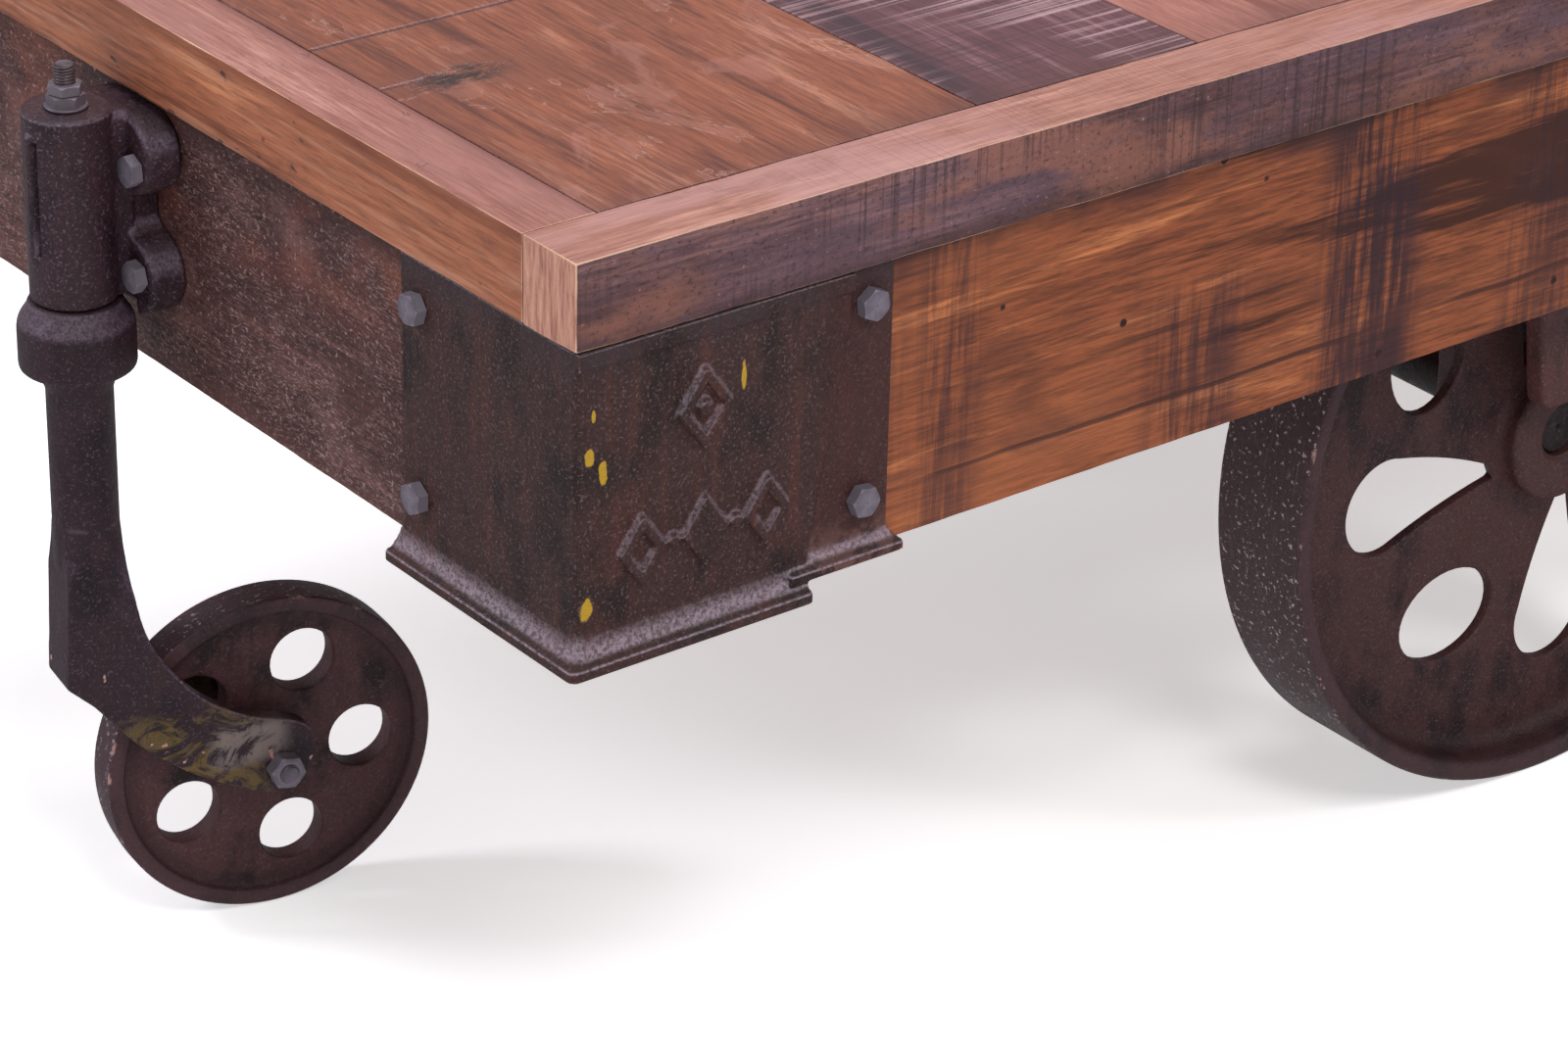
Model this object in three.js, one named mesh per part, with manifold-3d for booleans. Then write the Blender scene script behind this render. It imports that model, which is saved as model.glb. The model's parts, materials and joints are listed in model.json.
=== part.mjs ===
// Flat platform cart: a framed plank deck on a wooden skirt, cast-iron corner brackets,
// two large wheels on a fixed axle, and a swivel caster at each end.
// Millimetres, +Z up. The origin is on the floor under the middle of the cart.
// Left is -X, right is +X, front is -Y and back is +Y.

import * as THREE from 'three';
import { mergeVertices } from 'three/addons/utils/BufferGeometryUtils.js';
import Module from 'manifold-3d';

// ---- driving dimensions -------------------------------------------------------------

const GAP = 0.3; // air left between two pieces that touch

const DECK_LENGTH = 1270;
const DECK_WIDTH = 668;
const DECK_TOP = 457;
const BORDER_HEIGHT = 39;
const BORDER_WIDTH = 36;
const PLANK_THICKNESS = 24;
const PLANK_WIDTHS = [194, 123, 190, 158, 205, 148, 180];

const RAIL_INSET = 6; // skirt face behind the deck's edge
const RAIL_THICKNESS = 30;
const RAIL_BOTTOM = 286.5;
const BEAM_X = 215;
const BEAM_WIDTH = 60;
const BEAM_BOTTOM = 352;

const MAIN_WHEEL_RADIUS = 184;
const MAIN_WHEEL_WIDTH = 57;
const MAIN_WHEEL_FACE_INSET = 49.4; // rim face behind the deck's edge
const MAIN_WEB_FRONT = 19.4; // depth of the web behind the rim face
const MAIN_WEB_BACK = 26;
const MAIN_HUB_FRONT = 6.3;
const MAIN_HUB_RADIUS = 36;
const MAIN_HUB_FOOT = 41; // radius where the flared hub meets the web
const MAIN_BACK_HUB_RADIUS = 30;
const MAIN_RIM_THICKNESS = 10;
const MAIN_RIM_FILLET = 9;
const RIM_SOFTENING = 1.5;
const AXLE_RADIUS = 14;
const AXLE_END_INSET = 62; // axle end behind the deck's edge

const TEARDROP_ANGLE = 187.9;
const TEARDROP_CENTRE = 110.4;
const TEARDROP_RADIUS = 25;
const TEARDROP_TIP = [40.5, 11.8]; // radial and tangential place of the narrow end
const TEARDROP_TIP_RADIUS = 3.8;
const OVAL_ANGLE = 235.7;
const OVAL_CENTRE = 107;
const OVAL_LONG = 31;
const OVAL_SHORT = 24;
const OVAL_TILT = -53.3; // long axis from the radial direction
const MAIN_HOLE_COUNT = 4;

// The hanger's front plate: heights and half widths, down to its rounded corner.
const HANGER_OUTLINE = [[405, 50], [262, 47.8], [222, 42.4]];
const HANGER_BOTTOM = 213;
const HANGER_CORNER = 10;
const HANGER_THICKNESS = 12;
const HANGER_BRIDGE_HALF = 35;
const HANGER_BRIDGE_BOTTOM = 376;
const HANGER_LEG_GAP = 1.5; // air between the wheel's hub and the leg behind it
const HANGER_EYE_RADIUS = 28;

const CASTER_AXIS_OUT = 31; // swivel axis beyond the deck's end
const CASTER_TRAIL = 82;
const CASTER_YAW = -10; // resting direction of the trail, degrees about Z
const CASTER_WHEEL_RADIUS = 81;
const CASTER_WHEEL_WIDTH = 20;
const CASTER_HUB_HALF = 14.4;
const CASTER_HUB_RADIUS = 16;
const CASTER_HOLE_COUNT = 5;
const CASTER_HOLE_RADIUS = 15.8;
const CASTER_HOLE_CIRCLE = 47;
const CASTER_HOLE_ANGLE = 67;
const CASTER_WEB_HALF = 6;
const CASTER_RIM_THICKNESS = 8;
const CASTER_AXLE_RADIUS = 5;

const BARREL_RADIUS = 19.8;
const BARREL_TOP = 416.9;
const BARREL_BOTTOM = 328;
const STEM_RADIUS = 9;
const STEM_CLEARANCE = 0.4;
const STEM_NECK_RADIUS = 15.2; // below the collar
const STUD_RADIUS = 4.9;
const STUD_TOP = 437;
const COLLAR_RADIUS = 26.4;
const COLLAR_TOP = 327.4;
const COLLAR_BOTTOM = 294;
const SWIVEL_NUT_FLATS = 15;
const SWIVEL_NUT_HEIGHT = 9.2;
const AXLE_NUT_FLATS = 15;
const AXLE_NUT_HEIGHT = 7.5;
const AXLE_HEAD_HEIGHT = 6;
const AXLE_TAIL = 9; // thread beyond the fork, on the nut's side

const EAR_THICKNESS = 17;
const EAR_LOBE_RADIUS = 19;
const EAR_LOBE_Y = 15;
const EAR_LOBE_HEIGHTS = [395, 338];
const EAR_WAIST = 13;
const EAR_BOLT_Y = 23;
const EAR_BOLT_HEIGHTS = [390.5, 340.5];

const FORK_HALF_WIDTH = 24;
const FORK_SLOT_HALF = 15;
const FORK_SLOT_RADIUS = 87;

const BRACKET_FACE_INSET = 1.5;
const BRACKET_RECESS_INSET = 3.5;
const BRACKET_LONG_LEG = 162;
const BRACKET_SHORT_LEG = 124.5;
const BRACKET_LIP_OUT = 5.3; // lip beyond the deck's edge
const BRACKET_CORNER_RADIUS = 4;
const STEP_ALONG = 117; // foot of the slanted step in the long leg
const STEP_SLANT = 22; // how much further along the step is at its top
const STEP_TOP = 397;
const LIP_THICKNESS = 5;
const PROUD_LIP = { bottom: 275, flareTop: 297, shortEnd: 129 };
const RECESS_LIP = { bottom: 284, flareTop: 298, out: -2, longEnd: 167 };

const BOLT_RADIUS = 4;
const BOLT_FLATS = 12.7;
const BOLT_HEAD_HEIGHT = 5.5;
const BOLT_TAIL = 9; // thread that shows behind the rail

const ROUND_SEGMENTS = 24;
const SMALL_SEGMENTS = 10;
const THROUGH = 300; // longer than whatever a cutter passes through

// ---- derived places -----------------------------------------------------------------

const END_X = DECK_LENGTH / 2;
const SIDE_Y = DECK_WIDTH / 2;
const DECK_BOTTOM = DECK_TOP - BORDER_HEIGHT;
const RAIL_OUTER_X = END_X - RAIL_INSET;
const RAIL_OUTER_Y = SIDE_Y - RAIL_INSET;
const RAIL_INNER_X = RAIL_OUTER_X - RAIL_THICKNESS;
const RAIL_INNER_Y = RAIL_OUTER_Y - RAIL_THICKNESS;
const CASTER_X = END_X + CASTER_AXIS_OUT;
const degrees = THREE.MathUtils.degToRad;

// ---- materials ----------------------------------------------------------------------

function material(name, color, roughness, metalness) {
  const result = new THREE.MeshStandardMaterial({ color, roughness, metalness });
  result.name = name;
  return result;
}

const MATERIALS = {
  border_wood: material('border_wood', 0x9a6248, 0.6, 0),
  plank_wood: material('plank_wood', 0xa05a34, 0.5, 0),
  skirt_wood: material('skirt_wood', 0x8c5230, 0.65, 0),
  beam_wood: material('beam_wood', 0x6b4a36, 0.8, 0),
  bracket_iron: material('bracket_iron', 0x33251f, 0.45, 0.5),
  caster_iron: material('caster_iron', 0x38282a, 0.4, 0.5),
  wheel_iron: material('wheel_iron', 0x3d2624, 0.5, 0.4),
  bolt_steel: material('bolt_steel', 0x6d6a6a, 0.4, 0.9),
};

// ---- solids -------------------------------------------------------------------------

const wasm = await Module();
wasm.setup();

function toSolid(geometry) {
  const bare = geometry.clone();
  bare.deleteAttribute('normal');
  bare.deleteAttribute('uv');
  const merged = mergeVertices(bare, 1e-4);
  return new wasm.Manifold(new wasm.Mesh({
    numProp: 3,
    vertProperties: new Float32Array(merged.attributes.position.array),
    triVerts: new Uint32Array(merged.index.array),
  }));
}

function toGeometry(solid) {
  const mesh = solid.getMesh();
  const geometry = new THREE.BufferGeometry();
  geometry.setAttribute('position', new THREE.BufferAttribute(mesh.vertProperties, mesh.numProp));
  geometry.setIndex(new THREE.BufferAttribute(mesh.triVerts, 1));
  return geometry;
}

function join(geometries) {
  return toGeometry(geometries.map(toSolid).reduce((sum, next) => sum.add(next)));
}

function cut(geometry, cutters) {
  return toGeometry(cutters.map(toSolid).reduce((left, next) => left.subtract(next), toSolid(geometry)));
}

function common(geometries) {
  return toGeometry(geometries.map(toSolid).reduce((left, next) => left.intersect(next)));
}

function block([x0, x1], [y0, y1], [z0, z1]) {
  const geometry = new THREE.BoxGeometry(x1 - x0, y1 - y0, z1 - z0);
  return geometry.translate((x0 + x1) / 2, (y0 + y1) / 2, (z0 + z1) / 2);
}

// A rod about the Z axis, turned to lie along X or Y, then moved.
function rod(axis, radius, from, to, place = [0, 0, 0], segments = SMALL_SEGMENTS) {
  const geometry = new THREE.CylinderGeometry(radius, radius, to - from, segments);
  geometry.translate(0, (from + to) / 2, 0);
  if (axis === 'x') geometry.rotateZ(-Math.PI / 2);
  if (axis === 'z') geometry.rotateX(Math.PI / 2);
  return geometry.translate(...place);
}

// A turned body about the Z axis from a profile of [radius, height] points.
function turned(profile, segments) {
  const points = profile.map(([radius, height]) => new THREE.Vector2(radius, height));
  return new THREE.LatheGeometry(points, segments).rotateX(Math.PI / 2);
}

// An outline drawn in X and Z, extruded along Y between two places.
function slabAlongY(shape, y0, y1) {
  const extrusion = { depth: y1 - y0, bevelEnabled: false, curveSegments: 6 };
  const geometry = new THREE.ExtrudeGeometry(shape, extrusion);
  return geometry.rotateX(Math.PI / 2).translate(0, y1, 0);
}

function outline(points) {
  return new THREE.Shape(points.map(([x, y]) => new THREE.Vector2(x, y)));
}

// A closed body through rings of points that have the same count, each counterclockwise from above.
function loft(rings) {
  const count = rings[0].length;
  const positions = rings.flat(2);
  const faces = [];
  const cap = THREE.ShapeUtils.triangulateShape(rings[0].map(([x, y]) => new THREE.Vector2(x, y)), []);
  const topStart = (rings.length - 1) * count;
  for (const [a, b, c] of cap) {
    faces.push(a, c, b);
  }
  const topCap = THREE.ShapeUtils.triangulateShape(rings.at(-1).map(([x, y]) => new THREE.Vector2(x, y)), []);
  for (const [a, b, c] of topCap) {
    faces.push(topStart + a, topStart + b, topStart + c);
  }
  for (let ring = 0; ring + 1 < rings.length; ring += 1) {
    for (let i = 0; i < count; i += 1) {
      const a = ring * count + i;
      const b = ring * count + (i + 1) % count;
      faces.push(a, b, b + count, a, b + count, a + count);
    }
  }
  const geometry = new THREE.BufferGeometry();
  geometry.setAttribute('position', new THREE.Float32BufferAttribute(positions, 3));
  geometry.setIndex(faces);
  return geometry;
}

// The same body seen in a mirror across X = 0.
function mirrored(geometry) {
  const result = geometry.clone().scale(-1, 1, 1);
  const index = result.index.array;
  for (let i = 0; i < index.length; i += 3) {
    [index[i + 1], index[i + 2]] = [index[i + 2], index[i + 1]];
  }
  return result;
}

// ---- assembly -----------------------------------------------------------------------

const cart = new THREE.Group();

function add(parent, name, geometry, slot) {
  geometry.computeVertexNormals();
  const mesh = new THREE.Mesh(geometry, MATERIALS[slot]);
  mesh.name = name;
  parent.add(mesh);
  return mesh;
}

// ---- fasteners ----------------------------------------------------------------------

// A hexagonal prism about +Z with its lower face at the given height.
function hexPrism(flats, height, from) {
  const radius = flats / 2 / Math.cos(Math.PI / 6);
  return rod('z', radius, from, from + height, [0, 0, 0], 6);
}

// A bolt along +Z: the head's underside is at zero and the shank runs down from it.
function hexBolt(shankLength) {
  const head = hexPrism(BOLT_FLATS, BOLT_HEAD_HEIGHT, 0);
  const shank = rod('z', BOLT_RADIUS, -shankLength, 1);
  return join([head, shank]);
}

function boltHole(axis, length, place) {
  return rod(axis, BOLT_RADIUS + GAP, -length, length, place);
}

// ---- deck ---------------------------------------------------------------------------

const LONG_BOLTS = [[149, 401], [147, 312]]; // along the leg, above the floor
const SHORT_BOLTS = [[112, 396.5], [112, 310.5]];

function addDeck() {
  const height = [DECK_BOTTOM, DECK_TOP];
  const innerY = SIDE_Y - BORDER_WIDTH;
  const innerX = END_X - BORDER_WIDTH;
  add(cart, 'deck_border_front', block([-END_X, END_X], [-SIDE_Y, -innerY], height), 'border_wood');
  add(cart, 'deck_border_back', block([-END_X, END_X], [innerY, SIDE_Y], height), 'border_wood');
  const acrossY = [-innerY + GAP, innerY - GAP];
  add(cart, 'deck_border_left', block([-END_X, -innerX], acrossY, height), 'border_wood');
  add(cart, 'deck_border_right', block([innerX, END_X], acrossY, height), 'border_wood');
  let x = -innerX;
  PLANK_WIDTHS.forEach((width, i) => {
    const plank = block([x + GAP, x + width - GAP / 2], acrossY, [DECK_TOP - PLANK_THICKNESS, DECK_TOP]);
    add(cart, `deck_plank_${i + 1}`, plank, 'plank_wood');
    x += width;
  });
}

function addSkirt() {
  const height = [RAIL_BOTTOM, DECK_BOTTOM - GAP];
  for (const [name, side] of [['front', -1], ['back', 1]]) {
    const faces = [side * RAIL_OUTER_Y, side * RAIL_INNER_Y].sort((a, b) => a - b);
    const holes = [-1, 1].flatMap((end) => LONG_BOLTS.map(([along, z]) => (
      boltHole('y', 2 * RAIL_THICKNESS, [end * (END_X - along), side * RAIL_OUTER_Y, z]))));
    const rail = cut(block([-RAIL_OUTER_X, RAIL_OUTER_X], faces, height), holes);
    add(cart, `side_rail_${name}`, rail, 'skirt_wood');
  }
  for (const [name, end] of [['left', -1], ['right', 1]]) {
    const faces = [end * RAIL_OUTER_X, end * RAIL_INNER_X].sort((a, b) => a - b);
    const places = [-1, 1].flatMap((side) => [
      ...SHORT_BOLTS.map(([along, z]) => [side * (SIDE_Y - along), z]),
      ...EAR_BOLT_HEIGHTS.map((z) => [side * EAR_BOLT_Y, z]),
    ]);
    const holes = places.map(([y, z]) => boltHole('x', 2 * RAIL_THICKNESS, [end * RAIL_OUTER_X, y, z]));
    const rail = cut(block(faces, [-RAIL_INNER_Y + GAP, RAIL_INNER_Y - GAP], height), holes);
    add(cart, `end_rail_${name}`, rail, 'skirt_wood');
    const beamX = [end * BEAM_X - BEAM_WIDTH / 2, end * BEAM_X + BEAM_WIDTH / 2];
    const beamZ = [BEAM_BOTTOM, DECK_TOP - PLANK_THICKNESS - GAP];
    const beam = block(beamX, [-RAIL_INNER_Y + GAP, RAIL_INNER_Y - GAP], beamZ);
    add(cart, `cross_beam_${name}`, beam, 'beam_wood');
  }
}

// ---- corner brackets ----------------------------------------------------------------

// One level of the angle plate, seen from above, with the deck's corner at zero.
function bracketRing(z, frontInset, endInset, longEnd, shortEnd) {
  const back = RAIL_INSET - GAP;
  const r = BRACKET_CORNER_RADIUS;
  const corner = [90, 45, 0].map((angle) => [
    endInset + r - r * Math.sin(degrees(angle)),
    frontInset + r - r * Math.cos(degrees(angle)),
  ]);
  const points = [
    ...corner,
    [longEnd, frontInset],
    [longEnd, back],
    [back, back],
    [back, shortEnd],
    [endInset, shortEnd],
  ];
  return points.map(([x, y]) => [x, y, z]);
}

// A lip's hollow flare: height, share of the way in to the face, and share of the way to the plate's end.
function flareSteps(lipTop, flareTop) {
  return [0, 30, 60, 90].map((turn) => {
    const rise = 1 - Math.cos(degrees(turn));
    return { z: lipTop + (flareTop - lipTop) * rise, inward: Math.sin(degrees(turn)), along: rise };
  });
}

function towards(from, to, share) {
  return from + (to - from) * share;
}

// The lip under the set-back part of the long face, from the step to the plate's end.
function recessLip() {
  const { bottom, flareTop, out, longEnd } = RECESS_LIP;
  const start = STEP_ALONG - 2 * LIP_THICKNESS;
  const back = RAIL_INSET - GAP;
  const ring = (z, front, end) => [[start, front, z], [end, front, z], [end, back, z], [start, back, z]];
  return loft([
    ring(bottom, out, longEnd),
    ...flareSteps(bottom + LIP_THICKNESS, flareTop).map(({ z, inward, along }) => (
      ring(z, towards(out, BRACKET_RECESS_INSET, inward), towards(longEnd, BRACKET_LONG_LEG, along)))),
  ]);
}

// The part towards the corner, which ends at a slanted step and has the deeper lip.
function proudPlate(top) {
  const { bottom, flareTop, shortEnd } = PROUD_LIP;
  const out = -BRACKET_LIP_OUT;
  const face = BRACKET_FACE_INSET;
  const stepEnd = STEP_ALONG + STEP_SLANT;
  return loft([
    bracketRing(bottom, out, out, STEP_ALONG, shortEnd),
    ...flareSteps(bottom + LIP_THICKNESS, flareTop).map(({ z, inward, along }) => {
      const inset = towards(out, face, inward);
      return bracketRing(z, inset, inset, STEP_ALONG + along, towards(shortEnd, BRACKET_SHORT_LEG, along));
    }),
    bracketRing(STEP_TOP, face, face, stepEnd, BRACKET_SHORT_LEG),
    bracketRing(top, face, face, stepEnd, BRACKET_SHORT_LEG),
  ]);
}

function cornerBracket() {
  const top = DECK_BOTTOM - GAP;
  const plateBottom = RECESS_LIP.bottom + LIP_THICKNESS / 2;
  const plate = loft([plateBottom, top].map((z) => (
    bracketRing(z, BRACKET_RECESS_INSET, BRACKET_FACE_INSET, BRACKET_LONG_LEG, BRACKET_SHORT_LEG))));
  const holes = [
    ...LONG_BOLTS.map(([along, z]) => boltHole('y', BRACKET_LONG_LEG, [along, 0, z])),
    ...SHORT_BOLTS.map(([along, z]) => boltHole('x', BRACKET_SHORT_LEG, [0, along, z])),
  ];
  return cut(join([plate, recessLip(), proudPlate(top)]), holes);
}

function addCorners() {
  const shape = cornerBracket();
  const bolt = hexBolt(RAIL_THICKNESS + BOLT_TAIL);
  for (const [sideName, side] of [['front', -1], ['back', 1]]) {
    for (const [endName, end] of [['left', -1], ['right', 1]]) {
      const corner = `${sideName}_${endName}`;
      const group = new THREE.Group();
      group.position.set(end * END_X, side * SIDE_Y, 0);
      group.rotation.z = side < 0 ? 0 : Math.PI;
      cart.add(group);
      const flipped = end * side < 0;
      const hand = flipped ? -1 : 1;
      add(group, `corner_bracket_${corner}`, flipped ? mirrored(shape) : shape.clone(), 'bracket_iron');
      LONG_BOLTS.forEach(([along, z], i) => {
        const mesh = add(group, `corner_bolt_${corner}_${i + 1}`, bolt.clone(), 'bolt_steel');
        mesh.position.set(hand * along, BRACKET_RECESS_INSET - GAP, z);
        mesh.rotation.x = Math.PI / 2;
      });
      SHORT_BOLTS.forEach(([along, z], i) => {
        const mesh = add(group, `corner_bolt_${corner}_${i + 3}`, bolt.clone(), 'bolt_steel');
        mesh.position.set(hand * (BRACKET_FACE_INSET - GAP), along, z);
        mesh.rotation.y = -hand * Math.PI / 2;
      });
    }
  }
}

// ---- main wheels, axle and hangers --------------------------------------------------

// A place in the wheel's plane from a direction and a radial and a tangential distance.
function polar(angle, radial, tangential = 0) {
  const c = Math.cos(degrees(angle));
  const s = Math.sin(degrees(angle));
  return [radial * c - tangential * s, radial * s + tangential * c];
}

function teardropHole(angle) {
  const [tipRadial, tipTangential] = TEARDROP_TIP;
  const lean = Math.atan2(tipTangential, tipRadial - TEARDROP_CENTRE) / degrees(1);
  const span = Math.hypot(tipRadial - TEARDROP_CENTRE, tipTangential);
  const spread = Math.acos((TEARDROP_RADIUS - TEARDROP_TIP_RADIUS) / span) / degrees(1);
  const points = [];
  const bigSteps = 12;
  for (let i = 0; i <= bigSteps; i += 1) {
    const turn = lean + spread + (i / bigSteps) * (360 - 2 * spread);
    const [a, b] = polar(turn, TEARDROP_RADIUS);
    points.push(polar(angle, TEARDROP_CENTRE + a, b));
  }
  const tipSteps = 3;
  for (let i = 0; i <= tipSteps; i += 1) {
    const turn = lean - spread + (i / tipSteps) * 2 * spread;
    const [a, b] = polar(turn, TEARDROP_TIP_RADIUS);
    points.push(polar(angle, tipRadial + a, tipTangential + b));
  }
  return outline(points);
}

function ovalHole(angle) {
  const points = [];
  const steps = 16;
  for (let i = 0; i < steps; i += 1) {
    const turn = 2 * Math.PI * i / steps;
    const [radial, tangential] = polar(OVAL_TILT, OVAL_LONG * Math.cos(turn), OVAL_SHORT * Math.sin(turn));
    points.push(polar(angle, OVAL_CENTRE + radial, tangential));
  }
  return outline(points);
}

// The wheel's axis is Y and its rim face, at zero, looks to -Y.
function mainWheel() {
  const bore = AXLE_RADIUS + GAP;
  const rim = MAIN_WHEEL_RADIUS;
  const width = MAIN_WHEEL_WIDTH;
  const inner = rim - MAIN_RIM_THICKNESS;
  const soft = RIM_SOFTENING;
  const profile = [
    [bore, MAIN_HUB_FRONT],
    [MAIN_HUB_RADIUS, MAIN_HUB_FRONT],
    [(MAIN_HUB_RADIUS + MAIN_HUB_FOOT) / 2, (MAIN_HUB_FRONT + MAIN_WEB_FRONT) / 2],
    [MAIN_HUB_FOOT, MAIN_WEB_FRONT],
    [inner - MAIN_RIM_FILLET, MAIN_WEB_FRONT],
    [inner - soft, MAIN_WEB_FRONT - MAIN_RIM_FILLET],
    [inner, 0],
    [rim - soft, 0],
    [rim, soft],
    [rim, width - soft],
    [rim - soft, width],
    [inner, width],
    [inner - soft, MAIN_WEB_BACK + MAIN_RIM_FILLET],
    [inner - MAIN_RIM_FILLET, MAIN_WEB_BACK],
    [MAIN_BACK_HUB_RADIUS + MAIN_RIM_FILLET, MAIN_WEB_BACK],
    [MAIN_BACK_HUB_RADIUS, MAIN_WEB_BACK + MAIN_RIM_FILLET],
    [MAIN_BACK_HUB_RADIUS, width],
    [bore, width],
    [bore, MAIN_HUB_FRONT],
  ];
  const body = turned(profile, 2 * ROUND_SEGMENTS).rotateX(-Math.PI / 2);
  const holes = [];
  for (let i = 0; i < MAIN_HOLE_COUNT; i += 1) {
    const turn = i * 360 / MAIN_HOLE_COUNT;
    holes.push(slabAlongY(teardropHole(TEARDROP_ANGLE + turn), 0, width));
    holes.push(slabAlongY(ovalHole(OVAL_ANGLE + turn), 0, width));
  }
  return cut(body, holes);
}

// The casting that hangs over a wheel: a plate in front of it, a bridge above it, and a leg behind it that
// carries the axle. Its outer face is at zero, looking to -Y.
function axleHanger() {
  const axleZ = MAIN_WHEEL_RADIUS;
  const [top] = HANGER_OUTLINE;
  const [topZ] = top;
  const [[, lowWidth]] = HANGER_OUTLINE.slice(-1);
  const front = symmetricOutline([
    [HANGER_BOTTOM, lowWidth - HANGER_CORNER],
    [HANGER_BOTTOM + HANGER_CORNER / 4, lowWidth - HANGER_CORNER / 4],
    ...HANGER_OUTLINE.toReversed(),
  ], true);
  const rimFace = MAIN_WHEEL_FACE_INSET - RAIL_INSET - RAIL_THICKNESS - GAP;
  const legFront = rimFace + MAIN_WHEEL_WIDTH + HANGER_LEG_GAP;
  const legBack = legFront + HANGER_THICKNESS;
  const shoulders = [[HANGER_BRIDGE_BOTTOM, HANGER_BRIDGE_HALF], [topZ, HANGER_BRIDGE_HALF]];
  const bridge = symmetricOutline(shoulders, true);
  const leg = symmetricOutline([[axleZ, HANGER_EYE_RADIUS], ...shoulders], true);
  const solid = join([
    slabAlongY(front, 0, HANGER_THICKNESS),
    slabAlongY(bridge, 1, legBack - 1),
    slabAlongY(leg, legFront, legBack),
    rod('y', HANGER_EYE_RADIUS, legFront, legBack, [0, 0, axleZ], ROUND_SEGMENTS),
  ]);
  return cut(solid, [rod('y', AXLE_RADIUS + GAP, -THROUGH, THROUGH, [0, 0, axleZ], ROUND_SEGMENTS)]);
}

function addMainWheels() {
  const wheel = mainWheel();
  const hanger = axleHanger();
  for (const [name, side] of [['front', -1], ['back', 1]]) {
    const group = new THREE.Group();
    group.rotation.z = side < 0 ? 0 : Math.PI;
    cart.add(group);
    const wheelMesh = add(group, `main_wheel_${name}`, wheel.clone(), 'wheel_iron');
    wheelMesh.position.set(0, -SIDE_Y + MAIN_WHEEL_FACE_INSET, MAIN_WHEEL_RADIUS);
    const hangerMesh = add(group, `axle_hanger_${name}`, hanger.clone(), 'wheel_iron');
    hangerMesh.position.y = -RAIL_INNER_Y + GAP;
  }
  const reach = SIDE_Y - AXLE_END_INSET;
  const axle = rod('y', AXLE_RADIUS, -reach, reach, [0, 0, MAIN_WHEEL_RADIUS], ROUND_SEGMENTS);
  add(cart, 'main_axle', axle, 'bolt_steel');
}

// ---- casters ------------------------------------------------------------------------
// Each caster is made in its own frame: the swivel axis is Z, and the rail is towards +X.

function earShape() {
  const [upper, lower] = EAR_LOBE_HEIGHTS;
  const r = EAR_LOBE_RADIUS;
  const shape = new THREE.Shape();
  shape.moveTo(-EAR_LOBE_Y, upper + r);
  shape.absarc(-EAR_LOBE_Y, upper, r, degrees(90), degrees(270), false);
  shape.quadraticCurveTo(-EAR_WAIST, (upper + lower) / 2, -EAR_LOBE_Y, lower + r);
  shape.absarc(-EAR_LOBE_Y, lower, r, degrees(90), degrees(270), false);
  shape.lineTo(EAR_LOBE_Y, lower - r);
  shape.absarc(EAR_LOBE_Y, lower, r, degrees(-90), degrees(90), false);
  shape.quadraticCurveTo(EAR_WAIST, (upper + lower) / 2, EAR_LOBE_Y, upper - r);
  shape.absarc(EAR_LOBE_Y, upper, r, degrees(-90), degrees(90), false);
  return shape;
}

function casterBracket() {
  const back = CASTER_AXIS_OUT + RAIL_INSET - GAP;
  const front = back - EAR_THICKNESS;
  const ears = slabAlongY(earShape(), 0, EAR_THICKNESS).rotateZ(Math.PI / 2).translate(back, 0, 0);
  const barrel = rod('z', BARREL_RADIUS, BARREL_BOTTOM, BARREL_TOP, [0, 0, 0], ROUND_SEGMENTS);
  const neck = block([0, front + 1], [-EAR_WAIST, EAR_WAIST], [BARREL_BOTTOM + 1, BARREL_TOP - 2]);
  const bore = rod('z', STEM_RADIUS + STEM_CLEARANCE, 0, DECK_TOP, [0, 0, 0], ROUND_SEGMENTS);
  const collarRoom = rod('z', COLLAR_RADIUS + 1, 0, BARREL_BOTTOM, [0, 0, 0], ROUND_SEGMENTS);
  const holes = [-1, 1].flatMap((side) => EAR_BOLT_HEIGHTS.map((z) => (
    boltHole('x', EAR_THICKNESS, [back - EAR_THICKNESS / 2, side * EAR_BOLT_Y, z]))));
  return cut(join([ears, barrel, neck]), [bore, collarRoom, ...holes]);
}

// Side view of the fork: distance from the swivel axis along the trail, and height.
const FORK_SIDE = [
  [-13.5, 218],
  [-17, 139],
  [-5.5, 129],
  [14.5, 106],
  [38.5, 87],
  [59.5, 75],
  [74, 69],
  [87, 70],
  [95, 76],
  [98.5, 85],
  [97, 97],
  [89, 104],
  [68, 111],
  [46.5, 124],
  [30.5, 142],
  [19.5, 162],
  [15, 186],
  [13.5, 218],
];
// Half of the fork's plan and half of its front view.
const FORK_PLAN = [[-17, 13], [-5, 17], [12, 22.5], [24, FORK_HALF_WIDTH], [99, FORK_HALF_WIDTH]];
const FORK_FRONT = [[60, FORK_HALF_WIDTH], [152, FORK_HALF_WIDTH], [182, 18.8], [203, 16], [219, 14.6]];
// The round body that the crown is cut from, so that its top is as round as the stem.
const CROWN_ROUND = [
  [0, 30], [120, 30], [120, 135], [34, 165], [22.8, 185], [17.6, 203], [15.6, 219], [0, 219],
];

function symmetricOutline(halves, swap) {
  const right = halves.map(([along, half]) => (swap ? [half, along] : [along, half]));
  const left = halves.map(([along, half]) => (swap ? [-half, along] : [along, -half])).reverse();
  return outline([...right, ...left]);
}

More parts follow.
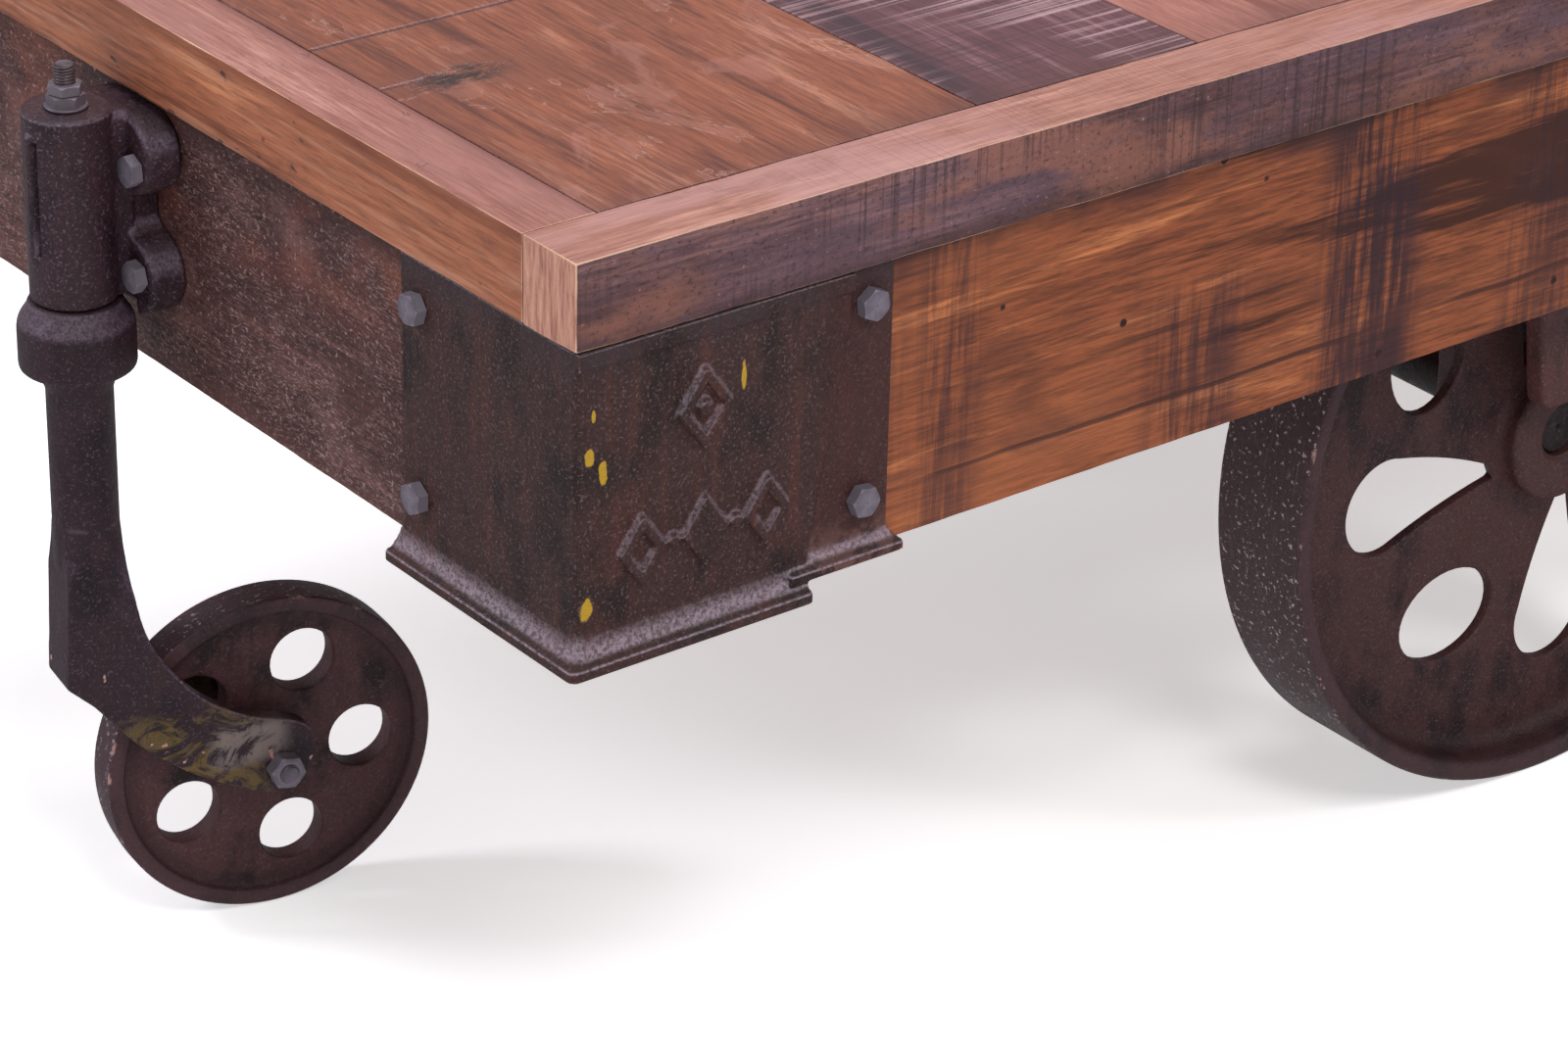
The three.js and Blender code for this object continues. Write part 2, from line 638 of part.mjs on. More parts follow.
function casterLeg() {
  const stem = turned([
    [0, 200],
    [STEM_NECK_RADIUS, 200],
    [STEM_NECK_RADIUS, 284],
    [17, 290],
    [19, COLLAR_BOTTOM],
    [COLLAR_RADIUS - 1, COLLAR_BOTTOM],
    [COLLAR_RADIUS, COLLAR_BOTTOM + 2],
    [COLLAR_RADIUS, 318],
    [21.5, COLLAR_TOP],
    [STEM_RADIUS, COLLAR_TOP],
    [STEM_RADIUS, BARREL_TOP - 1.5],
    [STUD_RADIUS, BARREL_TOP - 1],
    [STUD_RADIUS, STUD_TOP],
    [0, STUD_TOP],
  ], ROUND_SEGMENTS);
  const side = slabAlongY(outline(FORK_SIDE), -THROUGH, THROUGH);
  const plan = new THREE.ExtrudeGeometry(
    symmetricOutline(FORK_PLAN, false),
    { depth: THROUGH, bevelEnabled: false },
  );
  const front = slabAlongY(symmetricOutline(FORK_FRONT, true), -THROUGH, THROUGH).rotateZ(Math.PI / 2);
  const crown = common([side, plan, front, turned(CROWN_ROUND, ROUND_SEGMENTS)]);
  const axle = [CASTER_TRAIL, 0, CASTER_WHEEL_RADIUS];
  const slot = rod('y', FORK_SLOT_RADIUS, -FORK_SLOT_HALF, FORK_SLOT_HALF, axle, 2 * ROUND_SEGMENTS);
  const hole = rod('y', CASTER_AXLE_RADIUS + GAP, -THROUGH, THROUGH, axle);
  return cut(join([stem, crown]), [slot, hole]);
}

// Turns about Y through the origin, with the middle of its width at zero.
function casterWheel() {
  const bore = CASTER_AXLE_RADIUS + GAP;
  const half = CASTER_WHEEL_WIDTH / 2;
  const rim = CASTER_WHEEL_RADIUS;
  const halfProfile = [
    [bore, CASTER_HUB_HALF],
    [CASTER_HUB_RADIUS, CASTER_HUB_HALF],
    [CASTER_HUB_RADIUS + 2 * RIM_SOFTENING, CASTER_WEB_HALF],
    [rim - CASTER_RIM_THICKNESS - 2 * RIM_SOFTENING, CASTER_WEB_HALF],
    [rim - CASTER_RIM_THICKNESS, half],
    [rim - RIM_SOFTENING, half],
    [rim, half - RIM_SOFTENING],
  ];
  const profile = [
    ...halfProfile.map(([radius, y]) => [radius, -y]),
    ...halfProfile.toReversed(),
    [bore, -CASTER_HUB_HALF],
  ];
  const body = turned(profile, 36).rotateX(-Math.PI / 2);
  const holes = [];
  for (let i = 0; i < CASTER_HOLE_COUNT; i += 1) {
    const angle = CASTER_HOLE_ANGLE + i * 360 / CASTER_HOLE_COUNT;
    const [x, z] = polar(angle, CASTER_HOLE_CIRCLE);
    holes.push(rod('y', CASTER_HOLE_RADIUS, -THROUGH, THROUGH, [x, 0, z], 14));
  }
  return cut(body, holes);
}

function swivelNut() {
  const nut = hexPrism(SWIVEL_NUT_FLATS, SWIVEL_NUT_HEIGHT, BARREL_TOP + GAP);
  return cut(nut, [rod('z', STUD_RADIUS + GAP, 0, DECK_TOP)]);
}

// The bolt through fork and wheel, with its nut tight on the near side.
function casterAxleBolt() {
  const outer = FORK_HALF_WIDTH + GAP;
  const shank = rod('y', CASTER_AXLE_RADIUS, -outer - AXLE_TAIL, outer + 1);
  const head = hexPrism(AXLE_NUT_FLATS, AXLE_HEAD_HEIGHT, outer).rotateX(-Math.PI / 2);
  const nut = hexPrism(AXLE_NUT_FLATS, AXLE_NUT_HEIGHT, outer).rotateX(Math.PI / 2);
  return join([shank, head, nut]);
}

function addCasters() {
  const bracket = casterBracket();
  const leg = casterLeg();
  const wheel = casterWheel();
  const nut = swivelNut();
  const axleBolt = casterAxleBolt();
  const bolt = hexBolt(EAR_THICKNESS + RAIL_THICKNESS + BOLT_TAIL);
  const headX = CASTER_AXIS_OUT + RAIL_INSET - EAR_THICKNESS - 2 * GAP;
  for (const [name, end] of [['left', -1], ['right', 1]]) {
    const group = new THREE.Group();
    group.position.x = end * CASTER_X;
    group.rotation.z = end < 0 ? 0 : Math.PI;
    cart.add(group);
    add(group, `caster_bracket_${name}`, bracket.clone(), 'caster_iron');
    const places = [-1, 1].flatMap((side) => EAR_BOLT_HEIGHTS.map((z) => [side * EAR_BOLT_Y, z]));
    places.forEach(([y, z], i) => {
      const mesh = add(group, `caster_bracket_bolt_${name}_${i + 1}`, bolt.clone(), 'bolt_steel');
      mesh.position.set(headX, y, z);
      mesh.rotation.y = -Math.PI / 2;
    });
    const swivel = new THREE.Group();
    swivel.rotation.z = degrees(CASTER_YAW);
    group.add(swivel);
    add(swivel, `caster_leg_${name}`, leg.clone(), 'caster_iron');
    add(swivel, `swivel_nut_${name}`, nut.clone(), 'bolt_steel');
    const wheelMesh = add(swivel, `caster_wheel_${name}`, wheel.clone(), 'wheel_iron');
    wheelMesh.position.set(CASTER_TRAIL, 0, CASTER_WHEEL_RADIUS);
    const boltMesh = add(swivel, `caster_axle_bolt_${name}`, axleBolt.clone(), 'bolt_steel');
    boltMesh.position.copy(wheelMesh.position);
  }
}

addDeck();
addSkirt();
addCorners();
addMainWheels();
addCasters();

export default cart;
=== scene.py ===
"""Looks of the flat platform cart: reclaimed boards, iron castings, wheels and bolts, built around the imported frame."""

import json
import math

import bmesh
import bpy
from mathutils import Matrix, Vector, noise

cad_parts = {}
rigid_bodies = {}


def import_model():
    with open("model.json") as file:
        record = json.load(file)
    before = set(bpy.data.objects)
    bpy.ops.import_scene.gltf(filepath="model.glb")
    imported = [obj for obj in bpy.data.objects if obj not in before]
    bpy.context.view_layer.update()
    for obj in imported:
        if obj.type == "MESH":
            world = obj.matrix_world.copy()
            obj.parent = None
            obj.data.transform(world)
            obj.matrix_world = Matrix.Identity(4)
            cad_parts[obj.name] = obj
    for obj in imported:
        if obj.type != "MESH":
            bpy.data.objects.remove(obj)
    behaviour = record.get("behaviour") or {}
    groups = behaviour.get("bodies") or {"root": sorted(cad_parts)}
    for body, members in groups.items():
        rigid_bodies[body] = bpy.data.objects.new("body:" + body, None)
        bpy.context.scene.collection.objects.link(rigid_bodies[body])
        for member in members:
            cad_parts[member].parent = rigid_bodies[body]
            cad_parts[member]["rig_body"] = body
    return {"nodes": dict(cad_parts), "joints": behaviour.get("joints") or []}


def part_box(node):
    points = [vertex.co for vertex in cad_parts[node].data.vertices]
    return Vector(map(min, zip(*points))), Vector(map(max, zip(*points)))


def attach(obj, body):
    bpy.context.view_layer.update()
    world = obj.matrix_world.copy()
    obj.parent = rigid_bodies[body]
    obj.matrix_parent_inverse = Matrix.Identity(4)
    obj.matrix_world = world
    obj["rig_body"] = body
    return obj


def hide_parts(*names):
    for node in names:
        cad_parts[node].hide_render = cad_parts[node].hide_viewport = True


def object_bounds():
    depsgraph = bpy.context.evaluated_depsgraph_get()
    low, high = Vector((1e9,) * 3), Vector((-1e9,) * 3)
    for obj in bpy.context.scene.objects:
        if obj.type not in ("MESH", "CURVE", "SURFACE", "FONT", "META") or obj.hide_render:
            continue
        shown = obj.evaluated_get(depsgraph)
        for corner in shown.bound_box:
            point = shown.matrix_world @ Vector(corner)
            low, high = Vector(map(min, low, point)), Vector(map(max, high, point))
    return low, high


MM = 0.001  # shapes are drawn in millimetres, and Blender's unit is the metre

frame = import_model()
cad_low, cad_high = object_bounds()
deck_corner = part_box("deck_border_front")[0]  # the near low corner of the deck
LEFT_X, FRONT_Y, DECK_BOTTOM = (value / MM for value in deck_corner)
DECK_TOP = cad_high.z / MM

# ---- shapes ---------------------------------------------------------------------------


class Shape:
    """Points and faces of one closed body, in millimetres."""

    def __init__(self, points, faces):
        self.points = [Vector(p) for p in points]
        self.faces = [tuple(f) for f in faces]

    def placed(self, matrix):
        flip = matrix.determinant() < 0
        faces = [f[::-1] for f in self.faces] if flip else self.faces
        return Shape([matrix @ p for p in self.points], faces)


def together(shapes):
    points, faces = [], []
    for shape in shapes:
        start = len(points)
        points += shape.points
        faces += [tuple(start + i for i in face) for face in shape.faces]
    return Shape(points, faces)


def turned(profile, segments=64, closed=False):
    """A body turned about Z from (radius, height) points, listed upwards on its outside."""
    points, rings = [], []
    for radius, height in profile:
        start = len(points)
        count = 1 if radius == 0 else segments
        for i in range(count):
            angle = 2 * math.pi * i / segments
            points.append((radius * math.cos(angle), radius * math.sin(angle), height))
        rings.append((start, count))
    faces = []
    pairs = list(zip(rings, rings[1:])) + ([(rings[-1], rings[0])] if closed else [])
    for (low, low_count), (high, high_count) in pairs:
        for i in range(segments):
            j = (i + 1) % segments
            face = [low + i % low_count, low + j % low_count, high + j % high_count, high + i % high_count]
            faces.append(tuple(dict.fromkeys(face)))
    return Shape(points, faces)


def loft(rings):
    """A body through rings of (x, y, z) points, counterclockwise from above and listed upwards."""
    count = len(rings[0])
    points = [p for ring in rings for p in ring]
    faces = [tuple(reversed(range(count))), tuple(range(len(points) - count, len(points)))]
    for low in range(0, len(points) - count, count):
        for i in range(count):
            j = (i + 1) % count
            faces.append((low + i, low + j, low + j + count, low + i + count))
    return Shape(points, faces)


def prism(outline, low, high):
    return loft([[(x, y, z) for x, y in outline] for z in (low, high)])


def box(x, y, z):
    return prism([(x[0], y[0]), (x[1], y[0]), (x[1], y[1]), (x[0], y[1])], *z)


def move(x=0.0, y=0.0, z=0.0):
    return Matrix.Translation((x, y, z))


def spin(degrees, axis):
    return Matrix.Rotation(math.radians(degrees), 4, axis)


def upright(outline, y0, y1):
    """A slab whose outline is drawn in X and Z, between two places along Y."""
    return prism(outline, -y1, -y0).placed(spin(90, "X"))


ALONG_Y = spin(-90, "X")  # turns a body about Z into one about Y
ALONG_X = spin(90, "Y")


def arc(centre, radius, start, end, steps=8):
    turns = [math.radians(start + (end - start) * i / steps) for i in range(steps + 1)]
    return [(centre[0] + radius * math.cos(t), centre[1] + radius * math.sin(t)) for t in turns]


def curve_through(points, steps=6):
    """A smooth line through points (Catmull-Rom), with its two ends kept."""
    ends = [points[0], *points, points[-1]]
    result = []
    for a, b, c, d in zip(ends, ends[1:], ends[2:], ends[3:]):
        for i in range(steps):
            t = i / steps
            result.append(tuple(
                0.5 * (2 * q + (r - p) * t + (2 * p - 5 * q + 4 * r - s) * t**2 + (3 * q - p - 3 * r + s) * t**3)
                for p, q, r, s in zip(a, b, c, d)
            ))
    return result + [tuple(points[-1])]


def new_mesh(name, shape, smooth=True, sharp_angle=None):
    mesh = bpy.data.meshes.new(name)
    mesh.from_pydata([p * MM for p in shape.points], [], shape.faces)
    mesh.validate()
    if smooth:
        mesh.shade_smooth()
    if sharp_angle is not None:
        mesh.set_sharp_from_angle(angle=math.radians(sharp_angle))
    return mesh


def new_object(name, mesh, place=Matrix()):
    obj = bpy.data.objects.new(name, mesh)
    bpy.context.scene.collection.objects.link(obj)
    obj.matrix_world = Matrix.Translation(place.translation * MM) @ place.to_3x3().to_4x4()
    return obj


def baked(obj):
    """The object's mesh with its modifiers applied. The object itself is thrown away."""
    graph = bpy.context.evaluated_depsgraph_get()
    mesh = bpy.data.meshes.new_from_object(obj.evaluated_get(graph))
    bpy.data.objects.remove(obj)
    return mesh


def combined(name, start, *steps):
    """start (a shape or mesh) joined, cut or crossed with further shapes or meshes, in turn."""
    first = new_mesh(name, start) if isinstance(start, Shape) else start
    obj = new_object(name, first)
    helpers = []
    for operation, other in steps:
        mesh = new_mesh("helper", other) if isinstance(other, Shape) else other
        helper = new_object("helper", mesh)
        helpers.append(helper)
        modifier = obj.modifiers.new(operation, "BOOLEAN")
        modifier.operation = operation
        modifier.solver = "MANIFOLD"
        modifier.object = helper
    mesh = baked(obj)
    for helper in helpers:
        bpy.data.objects.remove(helper)
    return mesh


def softened(name, mesh, voxel, passes):
    """The mesh as a casting: one skin over everything that overlaps, with its edges rounded."""
    obj = new_object(name, new_mesh(name, mesh) if isinstance(mesh, Shape) else mesh)
    remesh = obj.modifiers.new("skin", "REMESH")
    remesh.mode = "VOXEL"
    remesh.voxel_size = voxel * MM
    smooth = obj.modifiers.new("soften", "SMOOTH")
    smooth.factor = 0.5
    smooth.iterations = passes
    result = baked(obj)
    result.name = name
    result.shade_smooth()
    return result


def show(obj, material, nodes=(), body=None):
    """Hands a finished piece over: its material, its body, and the CAD nodes it stands for."""
    obj.data.materials.clear()
    obj.data.materials.append(material)
    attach(obj, body or frame["nodes"][nodes[0]]["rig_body"])
    if nodes:
        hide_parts(*nodes)
    return obj


# ---- boards ---------------------------------------------------------------------------

BOARD_PITCH = 6.0


def board_steps(length, edge, extra=()):
    """Places along one side of a board: close together at its edges and at extra places."""
    near = [0.0, 0.25 * edge, 0.6 * edge, edge, 1.7 * edge]
    inner = length - 2 * near[-1]
    count = max(2, round(inner / BOARD_PITCH))
    middle = [near[-1] + inner * i / count for i in range(count + 1)]
    places = near[:-1] + middle + [length - n for n in near[:-1]]
    for place in extra:
        places = [p for p in places if abs(p - place) > 1.6] + [place - 1.3, place, place + 1.3]
    return sorted(places)


def board(name, node, edge=1.6, rough=0.25, grooves=()):
    """A sawn board as big as its CAD node, with worn arrises of varying roundness and a wavy surface.
    Each groove is (place along Y, from X, to X), measured from the node's low corner."""
    low, high = (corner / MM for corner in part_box(node))
    size = high - low
    seed = Vector((low.x, low.y, low.z)) * 0.37
    lines = [board_steps(size[a], edge, [g[0] for g in grooves] if a == 1 else ()) for a in range(3)]
    counts = [len(line) for line in lines]
    index, points, wear = {}, [], []
    for i in range(counts[0]):
        for j in range(counts[1]):
            for k in range(counts[2]):
                inside = 0 < i < counts[0] - 1 and 0 < j < counts[1] - 1 and 0 < k < counts[2] - 1
                if inside:
                    continue
                at = Vector((lines[0][i], lines[1][j], lines[2][k]))
                chip = max(0.0, noise.noise(at * 0.021 + seed) - 0.25)
                radius = edge * (0.55 + 0.35 * noise.noise(at * 0.06 + seed) + 1.2 * chip)
                core = Vector(min(max(at[a], radius), size[a] - radius) for a in range(3))
                out = (at - core).normalized()
                dip = rough * (0.5 + 0.5 * noise.noise(at * 0.03 + seed)) + 0.3 * rough * noise.noise(at * 0.2 + seed)
                for place, start, end in grooves:
                    if k == counts[2] - 1 and abs(at.y - place) < 0.5 and start < at.x < end:
                        dip += 1.1
                index[i, j, k] = len(points)
                points.append(low + core + out * (radius - max(0.0, dip)))
                wear.append((1 - max(abs(c) for c in out)) / 0.293)
    faces = []
    for a in range(3):
        b, c = (a + 1) % 3, (a + 2) % 3
        for side in (0, counts[a] - 1):
            for u in range(counts[b] - 1):
                for v in range(counts[c] - 1):
                    corners = []
                    for du, dv in ((0, 0), (1, 0), (1, 1), (0, 1)):
                        key = [0, 0, 0]
                        key[a], key[b], key[c] = side, u + du, v + dv
                        corners.append(index[tuple(key)])
                    faces.append(corners if side else corners[::-1])
    mesh = new_mesh(name, Shape(points, faces))
    mesh.attributes.new("wear", "FLOAT", "POINT").data.foreach_set("value", wear)
    return new_object(name, mesh)


# ---- fasteners ------------------------------------------------------------------------

HEX_SAMPLES = 48
THREAD_PITCH = 1.4


def hexagon(flats, height, chamfer=0.94, hole=0.0):
    """A bolt head or nut about Z on the plane z = 0, with the round chamfer that hex heads have."""
    flat = flats / 2
    crown = flat * chamfer
    rings = [[], [], [], []]
    for i in range(HEX_SAMPLES):
        angle = 2 * math.pi * i / HEX_SAMPLES
        reach = flat / math.cos((angle + math.pi / 6) % (math.pi / 3) - math.pi / 6)
        drop = (reach - crown) * math.tan(math.radians(30))
        around = (math.cos(angle), math.sin(angle))
        for ring, radius, z in (
            (rings[0], max(hole, 0.3), 0.0),
            (rings[1], reach, 0.0),
            (rings[2], reach, height - drop),
            (rings[3], crown, height),
        ):
            ring.append((radius * around[0], radius * around[1], z))
    inner = [(x, y, height) for x, y, _ in rings[0]]
    points = [p for ring in (*rings, inner) for p in ring]
    faces = []
    for ring in range(5):
        for i in range(HEX_SAMPLES):
            j = (i + 1) % HEX_SAMPLES
            a, b = ring * HEX_SAMPLES, (ring + 1) % 5 * HEX_SAMPLES
            faces.append((a + i, a + j, b + j, b + i))
    return Shape(points, faces)


def thread(radius, low, high, segments=24):
    """A threaded rod about Z with a rounded start at its upper end."""
    rows = max(4, round((high - low) / THREAD_PITCH * 6))
    points, faces = [], []
    for row in range(rows + 1):
        z = low + (high - low) * row / rows
        taper = min(1.0, 0.82 + 0.18 * (high - z) / 1.2)
        for i in range(segments):
            turn = i / segments
            phase = (z / THREAD_PITCH - turn) % 1.0
            depth = 0.55 * (1 - abs(2 * phase - 1))
            reach = (radius - depth) * taper
            angle = 2 * math.pi * turn
            points.append((reach * math.cos(angle), reach * math.sin(angle), z))
    for row in range(rows):
        for i in range(segments):
            a, b = row * segments, (row + 1) * segments
            j = (i + 1) % segments
            faces.append((a + i, a + j, b + j, b + i))
    faces.append(tuple(reversed(range(segments))))
    faces.append(tuple(range(rows * segments, (rows + 1) * segments)))
    return Shape(points, faces)


def washer(outer, inner, thickness):
    soft = 0.3
    profile = [(inner, 0), (outer - soft, 0), (outer, soft), (outer, thickness - soft), (outer - soft, thickness), (inner, thickness)]
    return turned(profile, 40, closed=True)


BOLT_FLATS = 12.7
BOLT_HEAD = 5.5
BOLT_RADIUS = 4.0
RAIL_THICKNESS = 30.0


def through_bolt(name, grip):
    """A hex bolt along +Z whose head rests on z = 0, with a washer and nut at the far end of its grip."""
    head = hexagon(BOLT_FLATS, BOLT_HEAD)
    shank = turned([(0, -grip), (BOLT_RADIUS, -grip), (BOLT_RADIUS, 0.5), (0, 0.5)], 24)
    tail = thread(BOLT_RADIUS, -grip - 9, -grip + 0.5).placed(spin(180, "X") @ move(z=2 * grip + 8.5))
    back_washer = washer(9, BOLT_RADIUS + 0.2, 1.5).placed(move(z=-grip - 1.5))
    nut = hexagon(BOLT_FLATS, 5.0, hole=BOLT_RADIUS - 0.3).placed(spin(180, "X") @ move(z=grip + 1.6))
    return new_mesh(name, together([head, shank, tail, back_washer, nut]), sharp_angle=32)


def place_bolt(node, mesh, facing, flat, material):
    """Puts a bolt where its CAD node is. facing is the direction its head looks."""
    low, high = (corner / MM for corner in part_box(node))
    middle = (low + high) / 2
    axis = max(range(3), key=lambda a: abs(facing[a]))
    head_top = high[axis] if facing[axis] > 0 else low[axis]
    middle[axis] = head_top - facing[axis] * BOLT_HEAD
    turn = Vector(facing).to_track_quat("Z", "Y").to_matrix().to_4x4()
    place = Matrix.Translation(middle) @ turn @ spin(flat, "Z")
    show(new_object(node + "_look", mesh, place), material, [node])


# ---- corner brackets ------------------------------------------------------------------
# Drawn with the deck's corner at zero, +X along the long side and +Y along the short side.

PLATE_BACK = 5.7
FACE_INSET = 1.5
RECESS_INSET = 3.5
LIP_OUT = -5.3
LONG_LEG, SHORT_LEG = 162.0, 124.5


def bracket_ring(z, front, end, long_end, short_end, radius=4.0):
    corner = arc((end + radius, front + radius), radius, 180, 270, 6)
    return [(x, y, z) for x, y in [
        *corner, (long_end, front), (long_end, PLATE_BACK), (PLATE_BACK, PLATE_BACK), (PLATE_BACK, short_end), (end, short_end)
    ]]


def flared_plate(lip, flare_top, top, front, long_foot, long_top, step_z, short_foot, lip_front, radius):
    """One angle plate from the lip's underside up to its top. It flares to the lip in a concave curve."""
    lip_low, lip_high = lip
    rings = [
        bracket_ring(lip_low, lip_front + 0.8, LIP_OUT + 0.8, long_foot[0] - 0.8, short_foot - 0.8, radius),
        bracket_ring(lip_low + 0.9, lip_front, LIP_OUT, long_foot[0], short_foot, radius),
        bracket_ring(lip_high - 0.8, lip_front, LIP_OUT, long_foot[0], short_foot, radius),
    ]
    steps = 8
    for i in range(steps + 1):
        t = math.radians(90 * i / steps)
        z = lip_high + (flare_top - lip_high) * (1 - math.cos(t))
        blend = math.sin(t)
        inward = 0.9 * (1 - blend)
        rings.append(bracket_ring(
            z,
            lip_front + inward + (front - lip_front - inward) * blend,
            LIP_OUT + inward + (FACE_INSET - LIP_OUT - inward) * blend,
            long_foot[0] + (long_foot[1] - long_foot[0]) * (1 - math.cos(t)),
            short_foot + (SHORT_LEG - short_foot) * (1 - math.cos(t)),
            radius,
        ))
    rings.append(bracket_ring(step_z, front, FACE_INSET, long_top, SHORT_LEG, radius))
    rings.append(bracket_ring(top, front, FACE_INSET, long_top, SHORT_LEG, radius))
    return loft(rings)


def lozenge(along, height, half_width, half_height, proud, open_middle):
    """A raised diamond on the long face, either a frame or a solid one."""
    def diamond(scale):
        return [(along - half_width * scale, height), (along, height - half_height * scale),
                (along + half_width * scale, height), (along, height + half_height * scale)]
    outer = upright(diamond(1), FACE_INSET - proud, FACE_INSET + 1)
    if not open_middle:
        return [outer]
    bars = []
    corners = diamond(0.8)
    for a, b in zip(corners, corners[1:] + corners[:1]):
        ahead = (Vector(b) - Vector(a)).normalized()
        side = Vector((-ahead.y, ahead.x)) * 2.1
        a2, b2 = Vector(a) - ahead * 1.7, Vector(b) + ahead * 1.7
        bars.append(upright([tuple(a2 - side), tuple(b2 - side), tuple(b2 + side), tuple(a2 + side)], FACE_INSET - proud, FACE_INSET + 1))
    return bars


def boss(along, height, radius, proud):
    return turned([(0, -1), (radius, -1), (radius, proud - 0.4), (radius - 0.6, proud), (0, proud)], 32).placed(
        move(along, FACE_INSET, height) @ spin(90, "X"))


def recess_flange():
    """The shorter lip under the set-back part of the long face, from the step to the plate's end."""
    lip_front = RECESS_INSET - 5.5
    steps = [(284, lip_front + 0.8, 166.2), (284.9, lip_front, 167), (288.2, lip_front, 167)]
    for i in range(9):
        t = math.radians(90 * i / 8)
        front = lip_front + 0.7 + (RECESS_INSET - lip_front - 0.7) * math.sin(t)
        steps.append((289 + 9 * (1 - math.cos(t)), front, 167 - 9 * (1 - math.cos(t))))
    return loft([[(108, front, z), (long_end, front, z), (long_end, PLATE_BACK, z), (108, PLATE_BACK, z)] for z, front, long_end in steps])


def corner_bracket_mesh():
    top = DECK_BOTTOM - 0.3
    thin = loft([bracket_ring(z, RECESS_INSET, FACE_INSET, LONG_LEG, SHORT_LEG) for z in (286, top)])
    proud = flared_plate((275, 281), 297, top, FACE_INSET, (117, 119), 139, 397, 129, LIP_OUT, 4.0)
    rim = box((2, 139), (FACE_INSET - 1.5, FACE_INSET + 1), (top - 8, top))
    marks = [rim]
    marks += lozenge(64, 378, 14, 19, 2.7, True) + [boss(64, 378, 3.6, 2.6)]
    for along in (33, 64.5, 96):
        marks += lozenge(along, 323, 11.5, 16, 2.7, along != 64.5)
    marks += [boss(along, 323, 2.9, 2.6) for along in (48.7, 80.3)]
    whole = together([thin, recess_flange(), proud, *marks])
    cut_holes = together([
        turned([(0, -20), (4.3, -20), (4.3, 20), (0, 20)], 24).placed(move(along, 4, z) @ ALONG_Y)
        for along, z in ((149, 401), (147, 312))
    ] + [
        turned([(0, -20), (4.3, -20), (4.3, 20), (0, 20)], 24).placed(move(4, along, z) @ ALONG_X)
        for along, z in ((112, 396.5), (112, 310.5))
    ])
    skin = softened("corner_bracket", whole, 1.0, 2)
    return combined("corner_bracket", skin, ("DIFFERENCE", cut_holes))


def mirrored_mesh(mesh, name):
    copy = mesh.copy()
    copy.name = name
    copy.transform(Matrix.Scale(-1, 4, (1, 0, 0)))
    copy.flip_normals()
    return copy


def add_corners(paints):
    right_hand = corner_bracket_mesh()
    right_hand.shade_smooth()
    left_hand = mirrored_mesh(right_hand, "corner_bracket_mirrored")
    bolts = {grip: through_bolt(f"corner_bolt_{grip}", grip) for grip in (32, 34)}
    for side_name, side in (("front", -1), ("back", 1)):
        for end_name, end in (("left", -1), ("right", 1)):
            corner = f"{side_name}_{end_name}"
            flipped = end * side < 0
            mesh = left_hand if flipped else right_hand
            if corner == "front_left":
                mesh = right_hand.copy()
            place = move(end * -LEFT_X, side * -FRONT_Y) @ spin(0 if side < 0 else 180, "Z")
            obj = new_object(f"corner_bracket_{corner}_look", mesh, place)
            paint = paints["bracket_near"] if corner == "front_left" else paints["bracket"]
            show(obj, paint, [f"corner_bracket_{corner}"])
            for number in (1, 2, 3, 4):
                facing = (0, side, 0) if number < 3 else (end, 0, 0)
                flat = (17 * number + 31 * (end + 1) + 11 * side) % 60
                place_bolt(f"corner_bolt_{corner}_{number}", bolts[32 if number < 3 else 34], facing, flat, paints["steel"])


# ---- main wheels, hangers and axle ----------------------------------------------------
# A wheel is drawn with its axis along Z, its near rim face at zero and its depth upwards.

MAIN_RADIUS = 184.0
MAIN_WIDTH = 57.0
WEB_NEAR, WEB_FAR = 19.4, 26.0
MAIN_BORE = 14.3
WHEEL_SEGMENTS = 160


def fillet(start, corner, end, steps=6):
    """A quarter-round between two places, bent towards a corner point."""
    return [tuple((1 - t) ** 2 * s + 2 * t * (1 - t) * c + t**2 * e for s, c, e in zip(start, corner, end))
            for t in (i / steps for i in range(steps + 1))]


def polar(angle, radial, tangential=0.0):
    c, s = math.cos(math.radians(angle)), math.sin(math.radians(angle))
    return (radial * c - tangential * s, radial * s + tangential * c)


def teardrop(angle):
    """The large hole: a round end near the rim and a narrow one near the hub, with bowed flanks."""
    centre, big, tip, small = 110.4, 25.0, (40.5, 11.8), 3.8
    across = Vector((tip[0] - centre, tip[1]))
    lean = math.degrees(math.atan2(across.y, across.x))
    spread = math.degrees(math.acos((big - small) / across.length))
    big_end = arc((centre, 0), big, lean + spread, lean + 360 - spread, 28)
    tip_end = arc(tip, small, lean - spread, lean + spread, 8)

    def flank(a, b, bow):
        a, b = Vector(a), Vector(b)
        side = Vector((b.y - a.y, a.x - b.x)).normalized()
        return [tuple(a.lerp(b, t) + side * bow * 4 * t * (1 - t)) for t in (i / 8 for i in range(1, 8))]

    outline = big_end + flank(big_end[-1], tip_end[0], -1.6) + tip_end + flank(tip_end[-1], big_end[0], 2.2)
    return [polar(angle, x, y) for x, y in outline]


def oval(angle):
    points = []
    for i in range(36):
        turn = 2 * math.pi * i / 36
        radial, tangential = polar(-53.3, 31 * math.cos(turn), 24 * math.sin(turn))
        points.append(polar(angle, 107 + radial, tangential))
    return points


